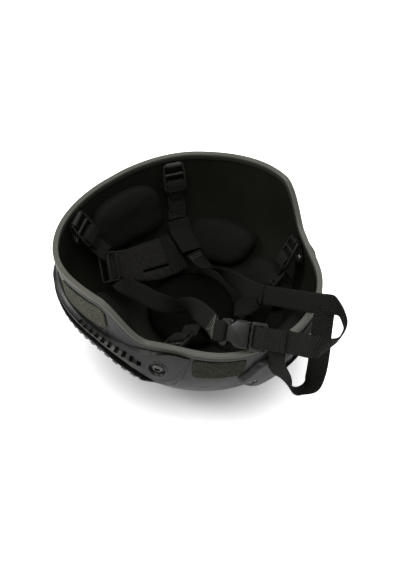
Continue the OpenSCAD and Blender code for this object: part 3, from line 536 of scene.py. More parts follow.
def fabric(name, colour, size, depth, gloss, speckle):
    """Brushed cloth: short matted fibres over a fine knit, paler in soft patches."""
    def hue(tree, where, weave):
        fine = spread(tree, noise(tree, where, 1000 / size, 3, 0.7), 0.38, 0.62)
        broad = spread(tree, noise(tree, where, 35, 3), 0.3, 0.7)
        dark, light = shade(colour, 1 - speckle), shade(colour, 1 + 1.6 * speckle)
        base = blend_colour(tree, fine, dark, light)
        return blend_colour(tree, calc(tree, "MULTIPLY", broad, 0.3), base, shade(colour, 1.4))

    def dull(tree, where, weave):
        return spread(tree, noise(tree, where, 120, 2), 0.3, 0.7, 0.86, 0.97)

    def relief(tree, where, weave):
        cells = add(tree, "ShaderNodeTexVoronoi", {"Vector": where, "Scale": 1000 / size})
        cells = cells.outputs["Distance"]
        knit = calc(tree, "MULTIPLY", cells, 0.7)
        return calc(tree, "ADD", knit, noise(tree, where, 1600 / size, 3))
    return finish_material(name, hue, dull, relief, depth, Specular_IOR_Level=gloss)


def metal(name, colour):
    """Plated steel: fine brushing, with a faint dull bloom."""
    def hue(tree, where, weave):
        bloom = spread(tree, noise(tree, where, 120, 4), 0.35, 0.7)
        return blend_colour(tree, bloom, shade(colour, 0.75), colour)

    def dull(tree, where, weave):
        return spread(tree, noise(tree, where, 400, 4), 0.3, 0.7, 0.16, 0.39)

    def relief(tree, where, weave):
        return noise(tree, where, 2500, 2)
    return finish_material(name, hue, dull, relief, 0.01, Metallic=1.0)


SMOOTH = {"grain_size": 1.2, "wear": 0.0}
POLYMER = {"rough": 0.36, "grain": 0.04, "grain_size": 0.5, "wear": 0.5}
ENAMEL = {"rough": 0.3, "grain": 0.015, "grain_size": 0.5, "wear": 0.6}
PILE = {"size": 1.1, "depth": 0.9, "gloss": 0.2, "speckle": 0.8}
COVER = {"size": 0.8, "depth": 0.12, "speckle": 0.25}
SEWING = {"size": 0.4, "depth": 0.05, "gloss": 0.2, "speckle": 0.2}
# Finishes: maker, name, colour or the panel's name for it, share of that colour, and values
FINISHES = {
    "shell": (moulded, "shell_plastic", "shell", 1,
              {"rough": 0.32, "grain": 0.012, "Specular_IOR_Level": 0.38, **SMOOTH}),
    "inside": (moulded, "inner_face_plastic", "inside", 1,
               {"rough": 0.6, "grain": 0.05, "Specular_IOR_Level": 0.12, **SMOOTH}),
    # The trim's second share, 0.4 of its colour, is painted shade on its lips and channel
    "trim": (moulded, "trim_rubber", "trim", 1,
             {"rough": 0.46, "grain": 0.03, "grain_size": 0.8, "wear": 0.1, "second": 0.4}),
    "rail": (moulded, "rail_polymer", "rail", 1, POLYMER),
    "plate": (moulded, "plate_polymer", "plate", 1, POLYMER),
    "hardware": (moulded, "harness_plastic", "hardware", 1,
                 {"rough": 0.34, "grain": 0.02, "grain_size": 0.4, "wear": 0.5}),
    "bracket": (moulded, "bracket_enamel", "hardware", 0.9, ENAMEL),
    "steel": (metal, "bright_nut_steel", (0.62, 0.62, 0.6), 1, {}),
    "bolt": (metal, "blackened_bolt_steel", (0.14, 0.14, 0.135), 1, {}),
    "screw": (metal, "zinc_screw_steel", (0.4, 0.4, 0.39), 1, {}),
    "pile": (fabric, "loop_pile", "pile", 1, PILE),
    "front_pile": (fabric, "front_loop_pile", "front_pile", 1, PILE),
    "hook": (fabric, "hook_tape", "pad", 0.9,
             {"size": 1.4, "depth": 0.4, "gloss": 0.1, "speckle": 0.5}),
    "pad": (fabric, "pad_cloth", "pad", 1, {"gloss": 0.08, **COVER}),
    "crown": (fabric, "crown_pad_cloth", "crown", 1, {"gloss": 0.05, **COVER}),
    "webbing": (woven, "webbing", "webbing", 1, {}),
    "nape": (fabric, "nape_loop_cloth", "nape", 1,
             {"size": 1.5, "depth": 0.5, "gloss": 0.2, "speckle": 0.6}),
    "thread": (fabric, "sewing_thread", "thread", 1, SEWING),
    "dark_thread": (fabric, "dark_sewing_thread", "webbing", 2.6, SEWING),
}
MATERIALS = {}


def material(key):
    """The material of that finish, made once."""
    if key not in MATERIALS:
        make, name, colour, share, values = FINISHES[key]
        if isinstance(colour, str):
            colour = getattr(colours(), colour)
        MATERIALS[key] = make(name, shade(colour, share), **values)
    return MATERIALS[key]


# Webbing along a route
def spline(values):
    """Smooth curve through points: each span is a cubic whose ends slope along their neighbours."""
    p = np.asarray(values, float)
    p = np.concatenate([2 * p[:1] - p[1:2], p, 2 * p[-1:] - p[-2:-1]])
    t = (np.arange(SPAN_STEPS) / SPAN_STEPS)[None, :, None]
    a, b, c, d = (x[:, None] for x in (p[:-3], p[1:-2], p[2:-1], p[3:]))
    square, cube = 2 * a - 5 * b + 4 * c - d, 3 * b - a - 3 * c + d
    spans = 0.5 * (2 * b + (c - a) * t + square * t ** 2 + cube * t ** 3)
    return np.concatenate([spans.reshape(-1, p.shape[1]), p[-2:-1]])


class Band:
    """A flat band's line in even steps: places p, width ways e, face ways f and lengths s."""

    def __init__(self, route, step=1.6, widths=WEB_W):
        p, q = spline([r[0] for r in route]), spline([r[1] for r in route])
        w = spline(np.broadcast_to(np.asarray(widths, float), len(route))[:, None])[:, 0]
        s = np.r_[0, np.cumsum(np.linalg.norm(np.diff(p, axis=0), axis=1))]
        self.s = np.linspace(0, s[-1], max(4, int(s[-1] / step)) + 1)
        self.p = np.stack([np.interp(self.s, s, p[:, k]) for k in range(3)], 1)
        q = np.stack([np.interp(self.s, s, q[:, k]) for k in range(3)], 1)
        self.w = np.interp(self.s, s, w)
        d = unit(np.gradient(self.p, axis=0))
        self.e = unit(q - (q * d).sum(1, keepdims=True) * d)
        self.f = np.cross(d, self.e)

    def at(self, s, v, h):
        """Point at length s, v across and h off the middle of the band."""
        mix = [np.stack([np.interp(s, self.s, a[:, k]) for k in range(3)], -1)
               for a in (self.p, self.e, self.f)]
        v, h = (np.asarray(x)[..., None] for x in (v, h))
        return mix[0] + v * unit(mix[1]) + h * unit(mix[2])


def band_section(t):
    """Closed section of a woven band of width 1: two flat faces with swollen selvedges."""
    v = np.linspace(-1, 1, SECTION_STEPS)
    v = np.sign(v) * (1 - (1 - np.abs(v)) ** 1.3)
    selvedge = 0.92 + 0.08 * smooth((np.abs(v) - 0.7) / 0.2)
    h = t / 2 * np.sqrt(np.clip(1 - np.abs(v) ** 10, 0, 1)) * selvedge
    top, low = np.stack([v / 2, h], 1), np.stack([v / 2, -h], 1)[::-1][1:-1]
    return np.concatenate([top, low])


def band_part(band, t):
    """Skin of a band with its length and width as UV."""
    section = band_section(t)
    across, up = section[None, :, 0] * band.w[:, None], section[None, :, 1:]
    rings = band.p[:, None] + across[..., None] * band.e[:, None] + up * band.f[:, None]
    points, faces = skin(rings)
    uv = np.stack([np.repeat(band.s[:, None], len(section), 1), across], -1).reshape(-1, 2)
    return points, faces, np.concatenate([uv, [[band.s[0], 0], [band.s[-1], 0]]])


def stitches(band, lines, h, pitch=2.6, length=1.9, girth=0.55):
    """Thread along lines on a band: each stitch a thin grain that sinks at both ends."""
    u, lift, r = (GRAIN * (1, girth, girth)).T
    q = circle(GRAIN_SIDES)
    size = len(u) * GRAIN_SIDES
    ring = np.arange(GRAIN_SIDES)
    parts = []
    for a, b in np.array(lines, float):
        k = max(1, int(np.linalg.norm(b - a) / pitch))
        mid = a + (b - a) * ((np.arange(k) + 0.5) / k)[:, None]
        half = unit(b - a) * length / 2
        side = np.array([-half[1], half[0]]) / (length / 2)
        place = (mid[:, None, None] + u[None, :, None, None] * half
                 + (r[:, None] * np.cos(q))[None, ..., None] * side)
        up = lift[:, None] + r[:, None] * np.sin(q)
        up = h + np.sign(h) * np.broadcast_to(up, (k, *up.shape))
        points = band.at(place[..., 0], place[..., 1], up).reshape(-1, 3)
        start = np.arange(k)[:, None] * size
        faces = (grid_faces(len(u), GRAIN_SIDES)[None] + start[..., None]).reshape(-1, 4).tolist()
        ends = (start + ring[::-1]).tolist() + (start + size - GRAIN_SIDES + ring).tolist()
        parts.append((points, faces + ends))
    return joined(*parts)


def both_faces(band, lines, h, *grain):
    """The same stitches on both faces of a band."""
    return [stitches(band, lines, side, *grain) for side in (h, -h)]


def bar_tack(s, half):
    """Line of stitches across a band."""
    return (s, -half), (s, half)


def sewn_patch(s0, s1, half, rows):
    """Lines of a sewn patch: even rows, a box round them and a cross in it."""
    box = [(s0, -half), (s1, -half), (s1, half), (s0, half)]
    return ([((s0, v), (s1, v)) for v in np.linspace(-half, half, rows)]
            + [(box[k], box[(k + 1) % 4]) for k in range(4)] + [(box[0], box[2]), (box[3], box[1])])


def lock_point(corner, v):
    """Place in an adjuster's frame."""
    return put(lock_matrix(corner), v)


WRAP_R = LOCK_T / 2 + 1.4 * FACE + WEB_T / 2
LEG_Z = LOCK_T / 2 + FACE + WEB_T / 2 + 0.2


def end_route(corner):
    """Webbing round an adjuster's second bar and out under its tab."""
    y, r = BAR_YS[1], WRAP_R
    yz = [(FRAME_END - 1, -LEG_Z), (y - 5, -LEG_Z), (y, -r), (y + 0.75 * r, -0.75 * r), (y + r, 0),
          (y + 0.75 * r, 0.75 * r), (y, r), (y - 5, LEG_Z), (y - 13, LEG_Z),
          (-LOCK_L, LEG_Z - 0.25), (WEB_END_Y, 1.6)]
    wide = lock_matrix(corner)[:3, 0]
    return [(lock_point(corner, (0, a, b)), wide) for a, b in yz]


def start_route(corner):
    """First stations of a fixed strap, past the webbing's end."""
    wide = lock_matrix(corner)[:3, 0]
    return [(lock_point(corner, (0, WEB_END_Y - y, 1.6 - 0.25 * y)), wide) for y in (4 * FACE, 8)]


# Bands: each station's place in millimetres and the way of the band's width there
ROUTES = {
    "rear_left": [
        (-99, -42.2, 88.7, 0.3, -0.95, 0), (-99.8, -40.2, 84.3, 0.1, -1, 0),
    ],
    "rear_right": [
        (-90, 60.5, 87, -0.55, -0.83, 0), (-86.5, 58.6, 84.2, -0.5, -0.85, -0.1),
    ],
    "front_left": [
        (55, -37, 88, 0.7, 0.35, 0.55), (63, -33.5, 86, 0.5, 0.5, 0.7),
        (74, -34, 88, 0.1, 0.6, 0.8), (84, -34.5, 92, -0.1, 0.6, 0.8),
        (91, -33, 97, -0.2, 0.6, 0.8),
    ],
    "front_right": [
        (54, 70, 66, -0.7, -0.6, 0.4), (61, 52, 54, -0.4, -0.8, 0.4), (64, 36, 47, -0.5, -0.7, 0.5),
        (58, 25, 45, -0.9, -0.2, 0.3), (49, 21, 51, -0.9, 0.4, 0), (47, 21, 64, -0.6, 0.8, 0),
        (58, 21, 78, -0.2, 0.6, 0.8), (66, 29.5, 88, -0.1, 0.5, 0.85),
    ],
    "left_chin": [
        (-69.5, -48, 66.4, -0.3, 0.9, -0.3), (-64, -46.4, 66.7, -0.15, 0.95, 0.2),
        (-56, -44.9, 67.5, 0, 0.85, 0.5), (-38, -41, 69, 0, 0.85, 0.5),
        (-17, -38, 71, 0, 0.85, 0.55), (1, -32, 74, 0.1, 0.4, 0.9), (14, -26, 79, 0.25, 0.1, 0.95),
        (29, -25.9, 89.5, 0.3, 0.3, 0.9), (49.4, -32.3, 101.7, 0.07, 0.85, 0.5),
        (73.9, -42.7, 116.9, -0.15, 0.8, 0.6),
    ],
    "right_chin": [
        (-47.5, 47.6, 63.2, 0, 1, -0.1), (-38, 47.1, 59.5, -0.1, 0.95, -0.2),
        (-28, 49, 56, -0.1, 0.9, -0.4), (-16, 52, 55, -0.35, 0.5, -0.75),
        (0, 53, 58, -0.5, 0, -0.86), (24, 50, 66, -0.3, -0.26, -0.92),
        (48, 42, 80, 0, -0.55, -0.83), (70, 36, 94.5, 0.14, -0.53, -0.83),
    ],
    "chin_front": [
        (72.2, 36.2, 95.9, -0.14, 0.53, 0.83), (94.4, 34.7, 111.7, -0.35, 0.6, 0.7),
        (121.8, 31.5, 131.4, -0.47, 0.58, 0.67), (144.1, 32.4, 145.2, -0.6, 0.44, 0.67),
        (157.4, 36, 150.6, -0.55, 0.2, 0.8), (169.4, 30.8, 152.7, 0, -0.1, 1),
        (181.4, 18.8, 155.7, 0.25, -0.35, 0.9), (187.4, 0.8, 157.7, 0.3, -0.34, 0.9),
        (184.4, -11.2, 157.7, 0, 0.1, 1),
    ],
    "under_chin": [
        (149.2, 31.8, 141.6, 0.69, 0.73, 0), (151.4, 28.8, 137.2, 0.69, 0.73, 0),
        (158.4, 19.8, 122.7, 0.67, 0.74, 0.05), (163.4, 14.8, 103.2, 0.69, 0.63, 0.36),
        (168.4, 7.7, 83.7, 0.84, 0.4, 0.36), (170.4, -1.2, 71.2, 0.89, 0.12, 0.43),
        (163.4, -14.1, 68.1, 0.5, -0.6, 0.5), (154.8, -21.3, 81.3, 0.2, -0.4, 0.85),
        (152.7, -30.9, 108.2, 0.5, 0, 0.85), (148.7, -33.9, 130.2, 0.8, 0.1, 0.5),
    ],
    "nape": [
        (-86.2, -48.3, 77.3, -0.7, 0, 0.7), (-85.2, -32.5, 72.4, -0.55, 0, 0.85),
        (-80.9, -16.2, 64, -0.65, 0.33, 0.68), (-73.4, 6.4, 59.3, -0.66, 0.36, 0.66),
        (-68.9, 28.7, 56.5, -0.7, 0.26, 0.66), (-67.5, 40.6, 58.2, -0.7, 0.28, 0.66),
    ],
    "sleeve": [
        (-85.5, 58.1, 83.2, -0.5, -0.85, -0.1), (-77.5, 55.6, 74.2, -0.45, -0.88, -0.1),
        (-64.5, 52.6, 68.2, -0.2, -0.97, 0.05), (-50.5, 48.6, 64.2, 0, -1, 0.1),
    ],
}


def route(name):
    """Stations of a band, each a place and the way of its width."""
    return [(row[:3], row[3:]) for row in ROUTES[name]]


# Buckle: along the pull, across it and out of its face, from the plug's bar
PULL = unit([0.899, 0.340, 0.273])
FACE_OUT = unit(np.cross(PULL, [-0.432, 0.608, 0.665]))
ACROSS = np.cross(FACE_OUT, PULL)
BUCKLE = matrix(PULL, ACROSS, FACE_OUT, (130.1, -39.7, 144))
BUCKLE_W, RECEIVER_T, RECEIVER_L, PLUG_T, PLUG_TRAVEL, PLUG_END = 27.0, 9.0, 29.0, 5.2, 18.0, 7.5
PLUG_BAR_D, TURN_L, STRAIGHT_TO, WINDOW_HALF = 3.0, 28.0, 54.0, 10.3
TURN_R = PLUG_BAR_D / 2 + 1.4 * FACE + WEB_T / 2
LEG_N = WEB_T + 2 * FACE
RECEIVER_END = -8 - RECEIVER_L


def buckle_route(xz):
    """Stations in the buckle's frame, lying flat across it."""
    return [(put(BUCKLE, (x, 0, z)), ACROSS) for x, z in xz]


# The pieces
SHELL_COLS, SHELL_OUT_ROWS, SHELL_IN_ROWS = 288, 76, 60


def make_shell():
    """Shell: rows from the crown out to the rim and back inside, closed at both poles."""
    t = (np.arange(SHELL_COLS) * 360 / SHELL_COLS - 180)[None]

    def rows(k, n, i):
        s = 1 - np.cos(np.radians(90 * k / n))[:, None]
        z = (rim_z(t) - i + CROWN_CUT) * s + i - CROWN_CUT
        return wall_point(np.broadcast_to(t, z.shape), z, i)
    outer = rows(np.arange(1, SHELL_OUT_ROWS + 1), SHELL_OUT_ROWS, 0)
    outer[..., 2] = np.maximum(outer[..., 2], 0)
    inner = rows(np.arange(SHELL_IN_ROWS, 0, -1), SHELL_IN_ROWS, WALL)
    points, faces = skin(np.concatenate([outer, inner]), (0, 0, 0), (0, 0, WALL - CROWN_CUT))
    mesh = new_mesh("helmet_shell", points, faces)
    new_piece("helmet_shell", mesh, "shell", "shell")
    mesh.materials.append(material("inside"))
    inside = np.arange(len(points)) >= SHELL_OUT_ROWS * SHELL_COLS
    inside[-2] = False
    start, index = np.empty(len(mesh.polygons), int), np.empty(len(mesh.loops), int)
    mesh.polygons.foreach_get("loop_start", start)
    mesh.loops.foreach_get("vertex_index", index)
    both = np.minimum.reduceat(inside[index].astype(np.int32), start)
    mesh.polygons.foreach_set("material_index", both.astype(np.int32))


TRIM_COLS, TRIM_ROUND = 384, 1.1


def make_trim():
    """Edge trim: a grooved, round-topped channel carried round the rim."""
    o, i, w, low = FIT + LIP_T, -WALL - FIT - LIP_T, -WALL - FIT, -LIP_DEPTH
    r, g = TRIM_ROUND, sizes().trim_groove
    q = np.radians(np.linspace(0, 90, 6))
    groove = [(o, -2.9), (o - g, -2.5), (o - g, -2.1), (o, -1.7)]
    outer_lip = [(o - 0.25, low), (o, low + 0.3)] + groove
    top = ([(o - r + r * math.cos(a), TRIM_TOP - r + r * math.sin(a)) for a in q]
           + [(-WALL / 2, TRIM_TOP)]
           + [(i + r - r * math.sin(a), TRIM_TOP - r + r * math.cos(a)) for a in q])
    # The inner lip's two upper points bound where its painted shade begins
    inner_lip = [(i, TRIM_TOP - 2.2), (i, TRIM_TOP - 2.5), (i, low + 0.3), (i + 0.25, low)]
    channel = [(w - 0.1, low), (w, low + 0.2), (w, FIT),
               (FIT, FIT), (FIT, low + 0.2), (FIT + 0.1, low)]
    profile = np.array(outer_lip + top + inner_lip + channel)
    t = (np.arange(TRIM_COLS) * 360 / TRIM_COLS - 180)[:, None]
    left, right = wall_point(t - 0.5, rim_z(t - 0.5)), wall_point(t + 0.5, rim_z(t + 0.5))
    slope = (right[..., 2] - left[..., 2]) / np.linalg.norm((right - left)[..., :2], axis=-1)
    z = rim_z(t) + profile[None, :, 1] * np.sqrt(1 + slope ** 2)
    foot = np.minimum(z, rim_z(t))
    e = unit(wall_normal(t, foot)[..., :2])
    p = wall_point(t, foot)
    rings = np.concatenate([p[..., :2] + profile[None, :, :1] * e, z[..., None]], -1)
    points, faces = skin(rings, ring=True)
    mesh = new_mesh("rim_trim", points, faces, sharp=50)
    # Painted shade: the outer lip below the groove, the inner lip from 2.2 mm under the top, and
    # the channel take the darker second shade; the top keeps the full colour
    at = np.arange(len(profile))
    lip = (at < len(outer_lip) - 1) | (at > len(outer_lip) + len(top))
    lip = np.tile(lip.astype(np.float32), TRIM_COLS)
    mesh.attributes.new("second", "FLOAT", "POINT").data.foreach_set("value", lip)
    new_piece("rim_trim", mesh, "trim", "edge_trim")


# Rail: angles from the front, and the heights or shares there
RAIL = {
    "top": ([44, 46, 50, 54, 57, 61, 70, 87, 98, 124, 134, 142, 150, 156],
            [121, 123, 126, 125, 122, 119, 119, 119.5, 121, 122.5, 126, 129, 127, 119]),
    "low": ([44, 46, 48, 51, 57, 62, 66, 73, 79, 85, 92, 124, 142, 150, 156],
            [116, 100, 80, 72, 73, 75, 78, 88, 95, 99.5, 101, 102, 104, 107, 115]),
    "slot_low": ([44, 50, 60, 65, 69, 76, 82, 90, 130, 138, 156],
                 [118, 90, 78, 80, 91, 99, 107, 110.5, 111, 113, 117]),
    "slot_high": ([44, 50, 60, 64, 67, 73, 79, 86, 93, 130, 138, 156],
                  [118.5, 91, 79.5, 89, 95, 104.5, 110.5, 115.5, 117.5, 117.8, 114, 117.5]),
    "ledge": ([44, 50, 58, 62, 67, 72, 79, 86, 93, 130, 138, 156],
              [119, 100, 94, 97, 104, 109, 114, 118, 119.5, 120, 119, 118]),
    "ridge": ([44, 50, 57, 62, 68, 76, 86, 98, 124, 134, 156],
              [120, 119, 115, 112.5, 112.5, 116.5, 119.3, 120.8, 122, 123, 118.5]),
    "open": ([44, 60, 64, 68, 126, 134, 138, 156], [0, 0, 0.6, 1, 1, 0.3, 0, 0]),
    "rim": ([44, 46, 50, 150, 153, 156], [0.4, 0.75, 1, 1, 0.8, 0.4]),
}
LEDGE_H, RAIL_LIP_H, SLOT_FLOOR_H, PANEL_H, UNDERCUT = 8.0, 9.5, 2.5, 5.5, 1.4
POCKET_D, POCKET_FLOOR, POCKET_RIM = 17.0, 2.6, 1.6
NOTCHES, NOTCH_FROM, NOTCH_SPAN, NOTCH_W, NOTCH_DEPTH, NOTCH_LOW = 10, 66, 30, 3.6, 3.0, 0.45
TEETH, TOOTH_TURN, TOOTH_W = np.arange(67, 124, 3.9), 20, 4.6


def rail_rings(t):
    """Sections of the side rail: lip, undercut slot, notched ledge and a slope to the shell."""
    low, slot_low, slot_high, ledge, ridge, top, share, rim = (
        np.interp(t, *RAIL[k])
        for k in ("low", "slot_low", "slot_high", "ledge", "ridge", "top", "open", "rim"))
    end = rim * PANEL_H
    h_lip, h_ledge = end + (RAIL_LIP_H - end) * share, end + (LEDGE_H - end) * share
    h_slot = end - 0.4 + (SLOT_FLOOR_H - end + 0.4) * share
    h_ridge = end + (3 - end) * smooth((t - 60) / 12) * share
    under = np.minimum(UNDERCUT, (slot_high - slot_low) / 3) * share
    foot = np.minimum(top, rim_z(t) - LIP_DEPTH - 0.8)
    seat = np.full_like(t, SEAT)
    section = [
        (low, seat), (low + 0.15 * (slot_low - low), 0.7 * h_lip),
        (low + 0.4 * (slot_low - low), h_lip), (slot_low, h_lip), (slot_low, h_lip - 1.2 * share),
        (slot_low - under, h_slot + 0.2), (slot_high + under, h_slot + 0.2),
        (slot_high, h_ledge - 1.2 * share), (slot_high, h_ledge), (ledge, h_ledge),
        (ledge + 0.35 * (ridge - ledge), h_ledge + 0.7 * (h_ridge - h_ledge)), (ridge, h_ridge),
        (ridge + 0.7 * (top - ridge), 0.8 * h_ridge),
    ] + [(foot + f * (low - foot), seat) for f in (0, 0.2, 0.4, 0.6, 0.8)]
    z, h = (np.stack(v, 1) for v in zip(*section))
    return on_wall(np.repeat(t[:, None], z.shape[1], 1), z, h)


def rail_cuts():
    """Skins taken out of the right rail: the ledge's notches, the lip's teeth, the bolt pockets."""
    bottom = NOTCH_LOW * LEDGE_H
    notch = box_part(about(NOTCH_W / 2), about(NOTCH_DEPTH), (bottom, bottom + NOTCH_W))
    step = box_part(about(2.1), about(2.4), (3.2, 2 * LEDGE_H))
    tooth = box_part(about(TOOTH_W / 2), (-5, 3.2), (RAIL_LIP_H - 1.5, 2 * RAIL_LIP_H))
    cuts = []
    for k in range(NOTCHES):
        a = NOTCH_FROM + NOTCH_SPAN * k / (NOTCHES - 1)
        z = float(np.interp(a, *RAIL["ledge"]))
        cuts += [placed(wall_frame(a, z), notch), placed(wall_frame(a, z + 1.6), step)]
    for a in TEETH:
        z = float(np.interp(a, *RAIL["low"])) * 0.6 + float(np.interp(a, *RAIL["slot_low"])) * 0.4
        cuts.append(placed(wall_frame(a, z) @ turn(TOOTH_TURN, "Z"), tooth))
    r, high = POCKET_D / 2, 3 * PANEL_H
    pocket = turned([(0, POCKET_FLOOR), (r - 1.2, POCKET_FLOOR), (r, PANEL_H), (r + 1, high),
                     (0, high)])
    return cuts + [placed(wall_frame(*bolt), pocket) for bolt in RIGHT_BOLTS]


def make_rails():
    """Side rails: sections carried round the shell less their cuts, and a mirror of the left."""
    knots = sorted(set(np.concatenate([v[0] for v in RAIL.values()])))
    t = np.array(sorted(set(np.round(np.concatenate([knots, np.arange(44, 156.1, 0.8)]), 3))))
    t = t[np.r_[True, np.diff(t) > 0.25]]
    points, faces = skin(rail_rings(t))
    flip = np.array([1, -1, 1])
    left = skin_piece("left_side_rail", (points * flip, faces), "rail", "left_rail")
    for skin_points, skin_faces in rail_cuts():
        cut(left, (skin_points * flip, skin_faces))
    mesh = shaded(left.data, 30).copy()
    mesh.transform(Matrix.Diagonal((1, -1, 1, 1)))
    mesh.flip_normals()
    right = new_piece("right_side_rail", mesh, "rail", "right_rail")
    for rail in (left, right):
        if len(rail.data.vertices) < len(points):
            raise RuntimeError(f"{rail.name} lost its body to a cut")
        bevel(rail, sizes().edge_round, 30)
    q = np.linspace(0, np.pi, 7)
    r, z = POCKET_D / 2 + POCKET_RIM - 1.2 * np.cos(q), PANEL_H - 0.5 + 1.1 * np.sin(q)
    ring = skin(swept(np.c_[r, z], 48), ring=True)
    rings = [placed(wall_frame(s * angle, height), ring)
             for angle, height in RIGHT_BOLTS for s in (-1, 1)]
    skin_piece("rail_pocket_rims", joined(*rings), "rail")


# Fixings as radius and height, from the face that each sits on
BOLT_HEAD = [(0, 0), (5.1, 0), (5.5, 0.5), (5.5, 1.4), (5.0, 2.0), (3.8, 2.5), (2.9, 2.6),
             (2.6, 0.9), (0, 0.7)]
DOME_NUT = [(0, 0), (5.4, 0), (6, -0.5), (6, -1.5), (5.2, -2.2), (4.0, -3.0), (2.2, -3.3),
            (0, -3.3)]
SHANK = [(0, 0), (2.5, 0), (2.5, 1), (2.5, 10), (2.2, 11), (0, 11)]


def make_fixings():
    """Bolts with socketed domed heads, flanged dome nuts, and the brackets' rounded copies."""
    bolts, nuts = [], []
    inner = -WALL - BRACKET_IN - BRACKET_T
    for angle, height, *_ in CORNERS.values():
        m = wall_frame(angle, height)
        bolts += [placed(m @ move(z=POCKET_FLOOR + 0.05), turned(BOLT_HEAD)),
                  placed(m @ move(z=inner - 1), turned(SHANK, 24))]
        nuts.append(placed(m @ move(z=inner - 0.05), turned(DOME_NUT)))
    skin_piece("harness_bolt_set", joined(*bolts), "bolt", "rail_bolts")
    skin_piece("dome_nut_set", joined(*nuts), "steel", "harness_nuts")
    bm = bmesh.new()
    bm.from_mesh(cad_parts["strap_brackets"].data)
    bmesh.ops.remove_doubles(bm, verts=bm.verts, dist=1e-6)
    bmesh.ops.dissolve_limit(bm, angle_limit=math.radians(1), verts=bm.verts, edges=bm.edges)
    mesh = bpy.data.meshes.new("bracket_set")
    bm.to_mesh(mesh)
    bm.free()
    piece = new_piece("bracket_set", shaded(mesh, 30), "bracket", "strap_brackets")
    bevel(piece, 0.25, 35)


# Half of the front plate's outline: angle from the front and height
PLATE_HALF = [[0, 113], [4, 113], [8, 112.8], [13.5, 112], [16.5, 110.8], [18.5, 108],
              [20.2, 102.5], [22.3, 97], [24.3, 92], [24.6, 88], [23.4, 84], [20.5, 75], [17, 67],
              [13.5, 58], [11, 49], [9.5, 44], [7, 41], [3.5, 40.2], [0, 40]]
PLATE_T, PLATE_MID, PLATE_STEPS, PLATE_SCREWS = 5.5, 80.0, 180, ((-18.5, 84), (18.5, 84), (0, 50))
# Share of the outline and of the thickness, from the middle of the face over the edge
PLATE_FACE = ((0.15, 1), (0.3, 1), (0.45, 1), (0.6, 1), (0.74, 1), (0.86, 1), (0.925, 1),
              (0.955, 0.86), (0.985, 0.5), (1, 0))
PLATE_BACK = (0.9, 0.75, 0.6, 0.45, 0.3, 0.15)
SOCKET_AT, SOCKET_W, SOCKET_L, SOCKET_FLOOR, TETHER_AT, TETHER_D = 86, 24, 32, 1.2, 60, 5
SCREW_SEAT = [(0, PLATE_T - 2.2), (4.5, PLATE_T - 2.2), (4.6, 2 * PLATE_T), (0, 2 * PLATE_T)]
SCREW_HEAD = [(0, PLATE_T - 2.1), (3.9, PLATE_T - 2.1), (4, PLATE_T - 1.7), (4, PLATE_T - 0.9),
              (3.4, PLATE_T - 0.3), (2, PLATE_T - 0.3), (1.9, PLATE_T - 1.6), (0, PLATE_T - 1.6)]


def cylinder(r, low, high, sides=32):
    """Closed cylinder about Z."""
    return turned([(0, low), (r, low), (r, high), (0, high)], sides)


def make_plate():
    """Front mount plate: winged skin on the shell, less a socket, screw seats and a tether hole."""
    half = np.array(PLATE_HALF)
    line = np.concatenate([half, half[-2:0:-1] * (-1, 1)])
    loop = np.concatenate([line, line[:1]])
    s = np.r_[0, np.cumsum(np.linalg.norm(np.diff(loop * (1.4, 1), axis=0), axis=1))]
    u = np.linspace(0, s[-1], PLATE_STEPS + 1)[:-1]
    x, y = (np.interp(u, s, loop[:, k]) for k in (0, 1))

    def ring(f, h):
        return on_wall(x * f, PLATE_MID + (y - PLATE_MID) * f, np.full(len(x), SEAT + h * PLATE_T))
    rings = [ring(f, h) for f, h in PLATE_FACE] + [ring(f, 0) for f in PLATE_BACK]
    part = skin(rings, on_wall(0.0, PLATE_MID, SEAT + PLATE_T), on_wall(0.0, PLATE_MID, SEAT))
    piece = skin_piece("front_plate", part, "plate", "front_mount_plate")
    outline = rounded(rectangle(-SOCKET_W / 2, SOCKET_W / 2, SOCKET_L / 2), 2)
    m = wall_frame(0, SOCKET_AT) @ move(z=SOCKET_FLOOR + 1.5 * PLATE_T)
    cut(piece, placed(m, plate_part([outline], 3 * PLATE_T, 0.2)))
    for t, z in PLATE_SCREWS:
        cut(piece, placed(wall_frame(t, z), turned(SCREW_SEAT, 32)))
    cut(piece, placed(wall_frame(0, TETHER_AT), cylinder(TETHER_D / 2, -PLATE_T, 3 * PLATE_T)))
    shaded(piece.data, 25)
    bevel(piece, sizes().edge_round, 28)
    screw = [turned(SCREW_HEAD, 32), cylinder(2, -WALL - 0.8, PLATE_T - 2.1, 20),
             cylinder(3.5, -WALL - 1.55, -WALL - 0.75, 6)]
    screws = [placed(wall_frame(t, z), part) for t, z in PLATE_SCREWS for part in screw]
    skin_piece("plate_screw_set", joined(*screws), "screw", "mount_plate_screws")


def quad_point(k, u, v):
    """Place in a four-cornered field, u and v from -1 to 1."""
    k, u, v = np.asarray(k, float), np.asarray(u), np.asarray(v)
    shares = ((1 - u) * (1 + v), (1 + u) * (1 + v), (1 + u) * (1 - v), (1 - u) * (1 - v))
    return sum((0.25 * w)[..., None] * k[j] for j, w in enumerate(shares))


def power_ring(n, m):
    """Ring of a superellipse of power m."""
    c, s = np.cos(circle(n)), np.sin(circle(n))
    r = (np.abs(c) ** m + np.abs(s) ** m) ** (-1 / m)
    return r * c, r * s


# Loop patches: finish, and corners as angle and height; their pile stands 1.6 mm high
PATCHES = {
    "side": ("pile", [[110.5, 149], [82.5, 157], [81.5, 130], [110.5, 124]]),
    "front": ("front_pile", [[43.2, 118.5], [21.6, 121], [23, 98.5], [43.2, 94]]),
}
PATCH_T, PATCH_SEED = 1.6, 11


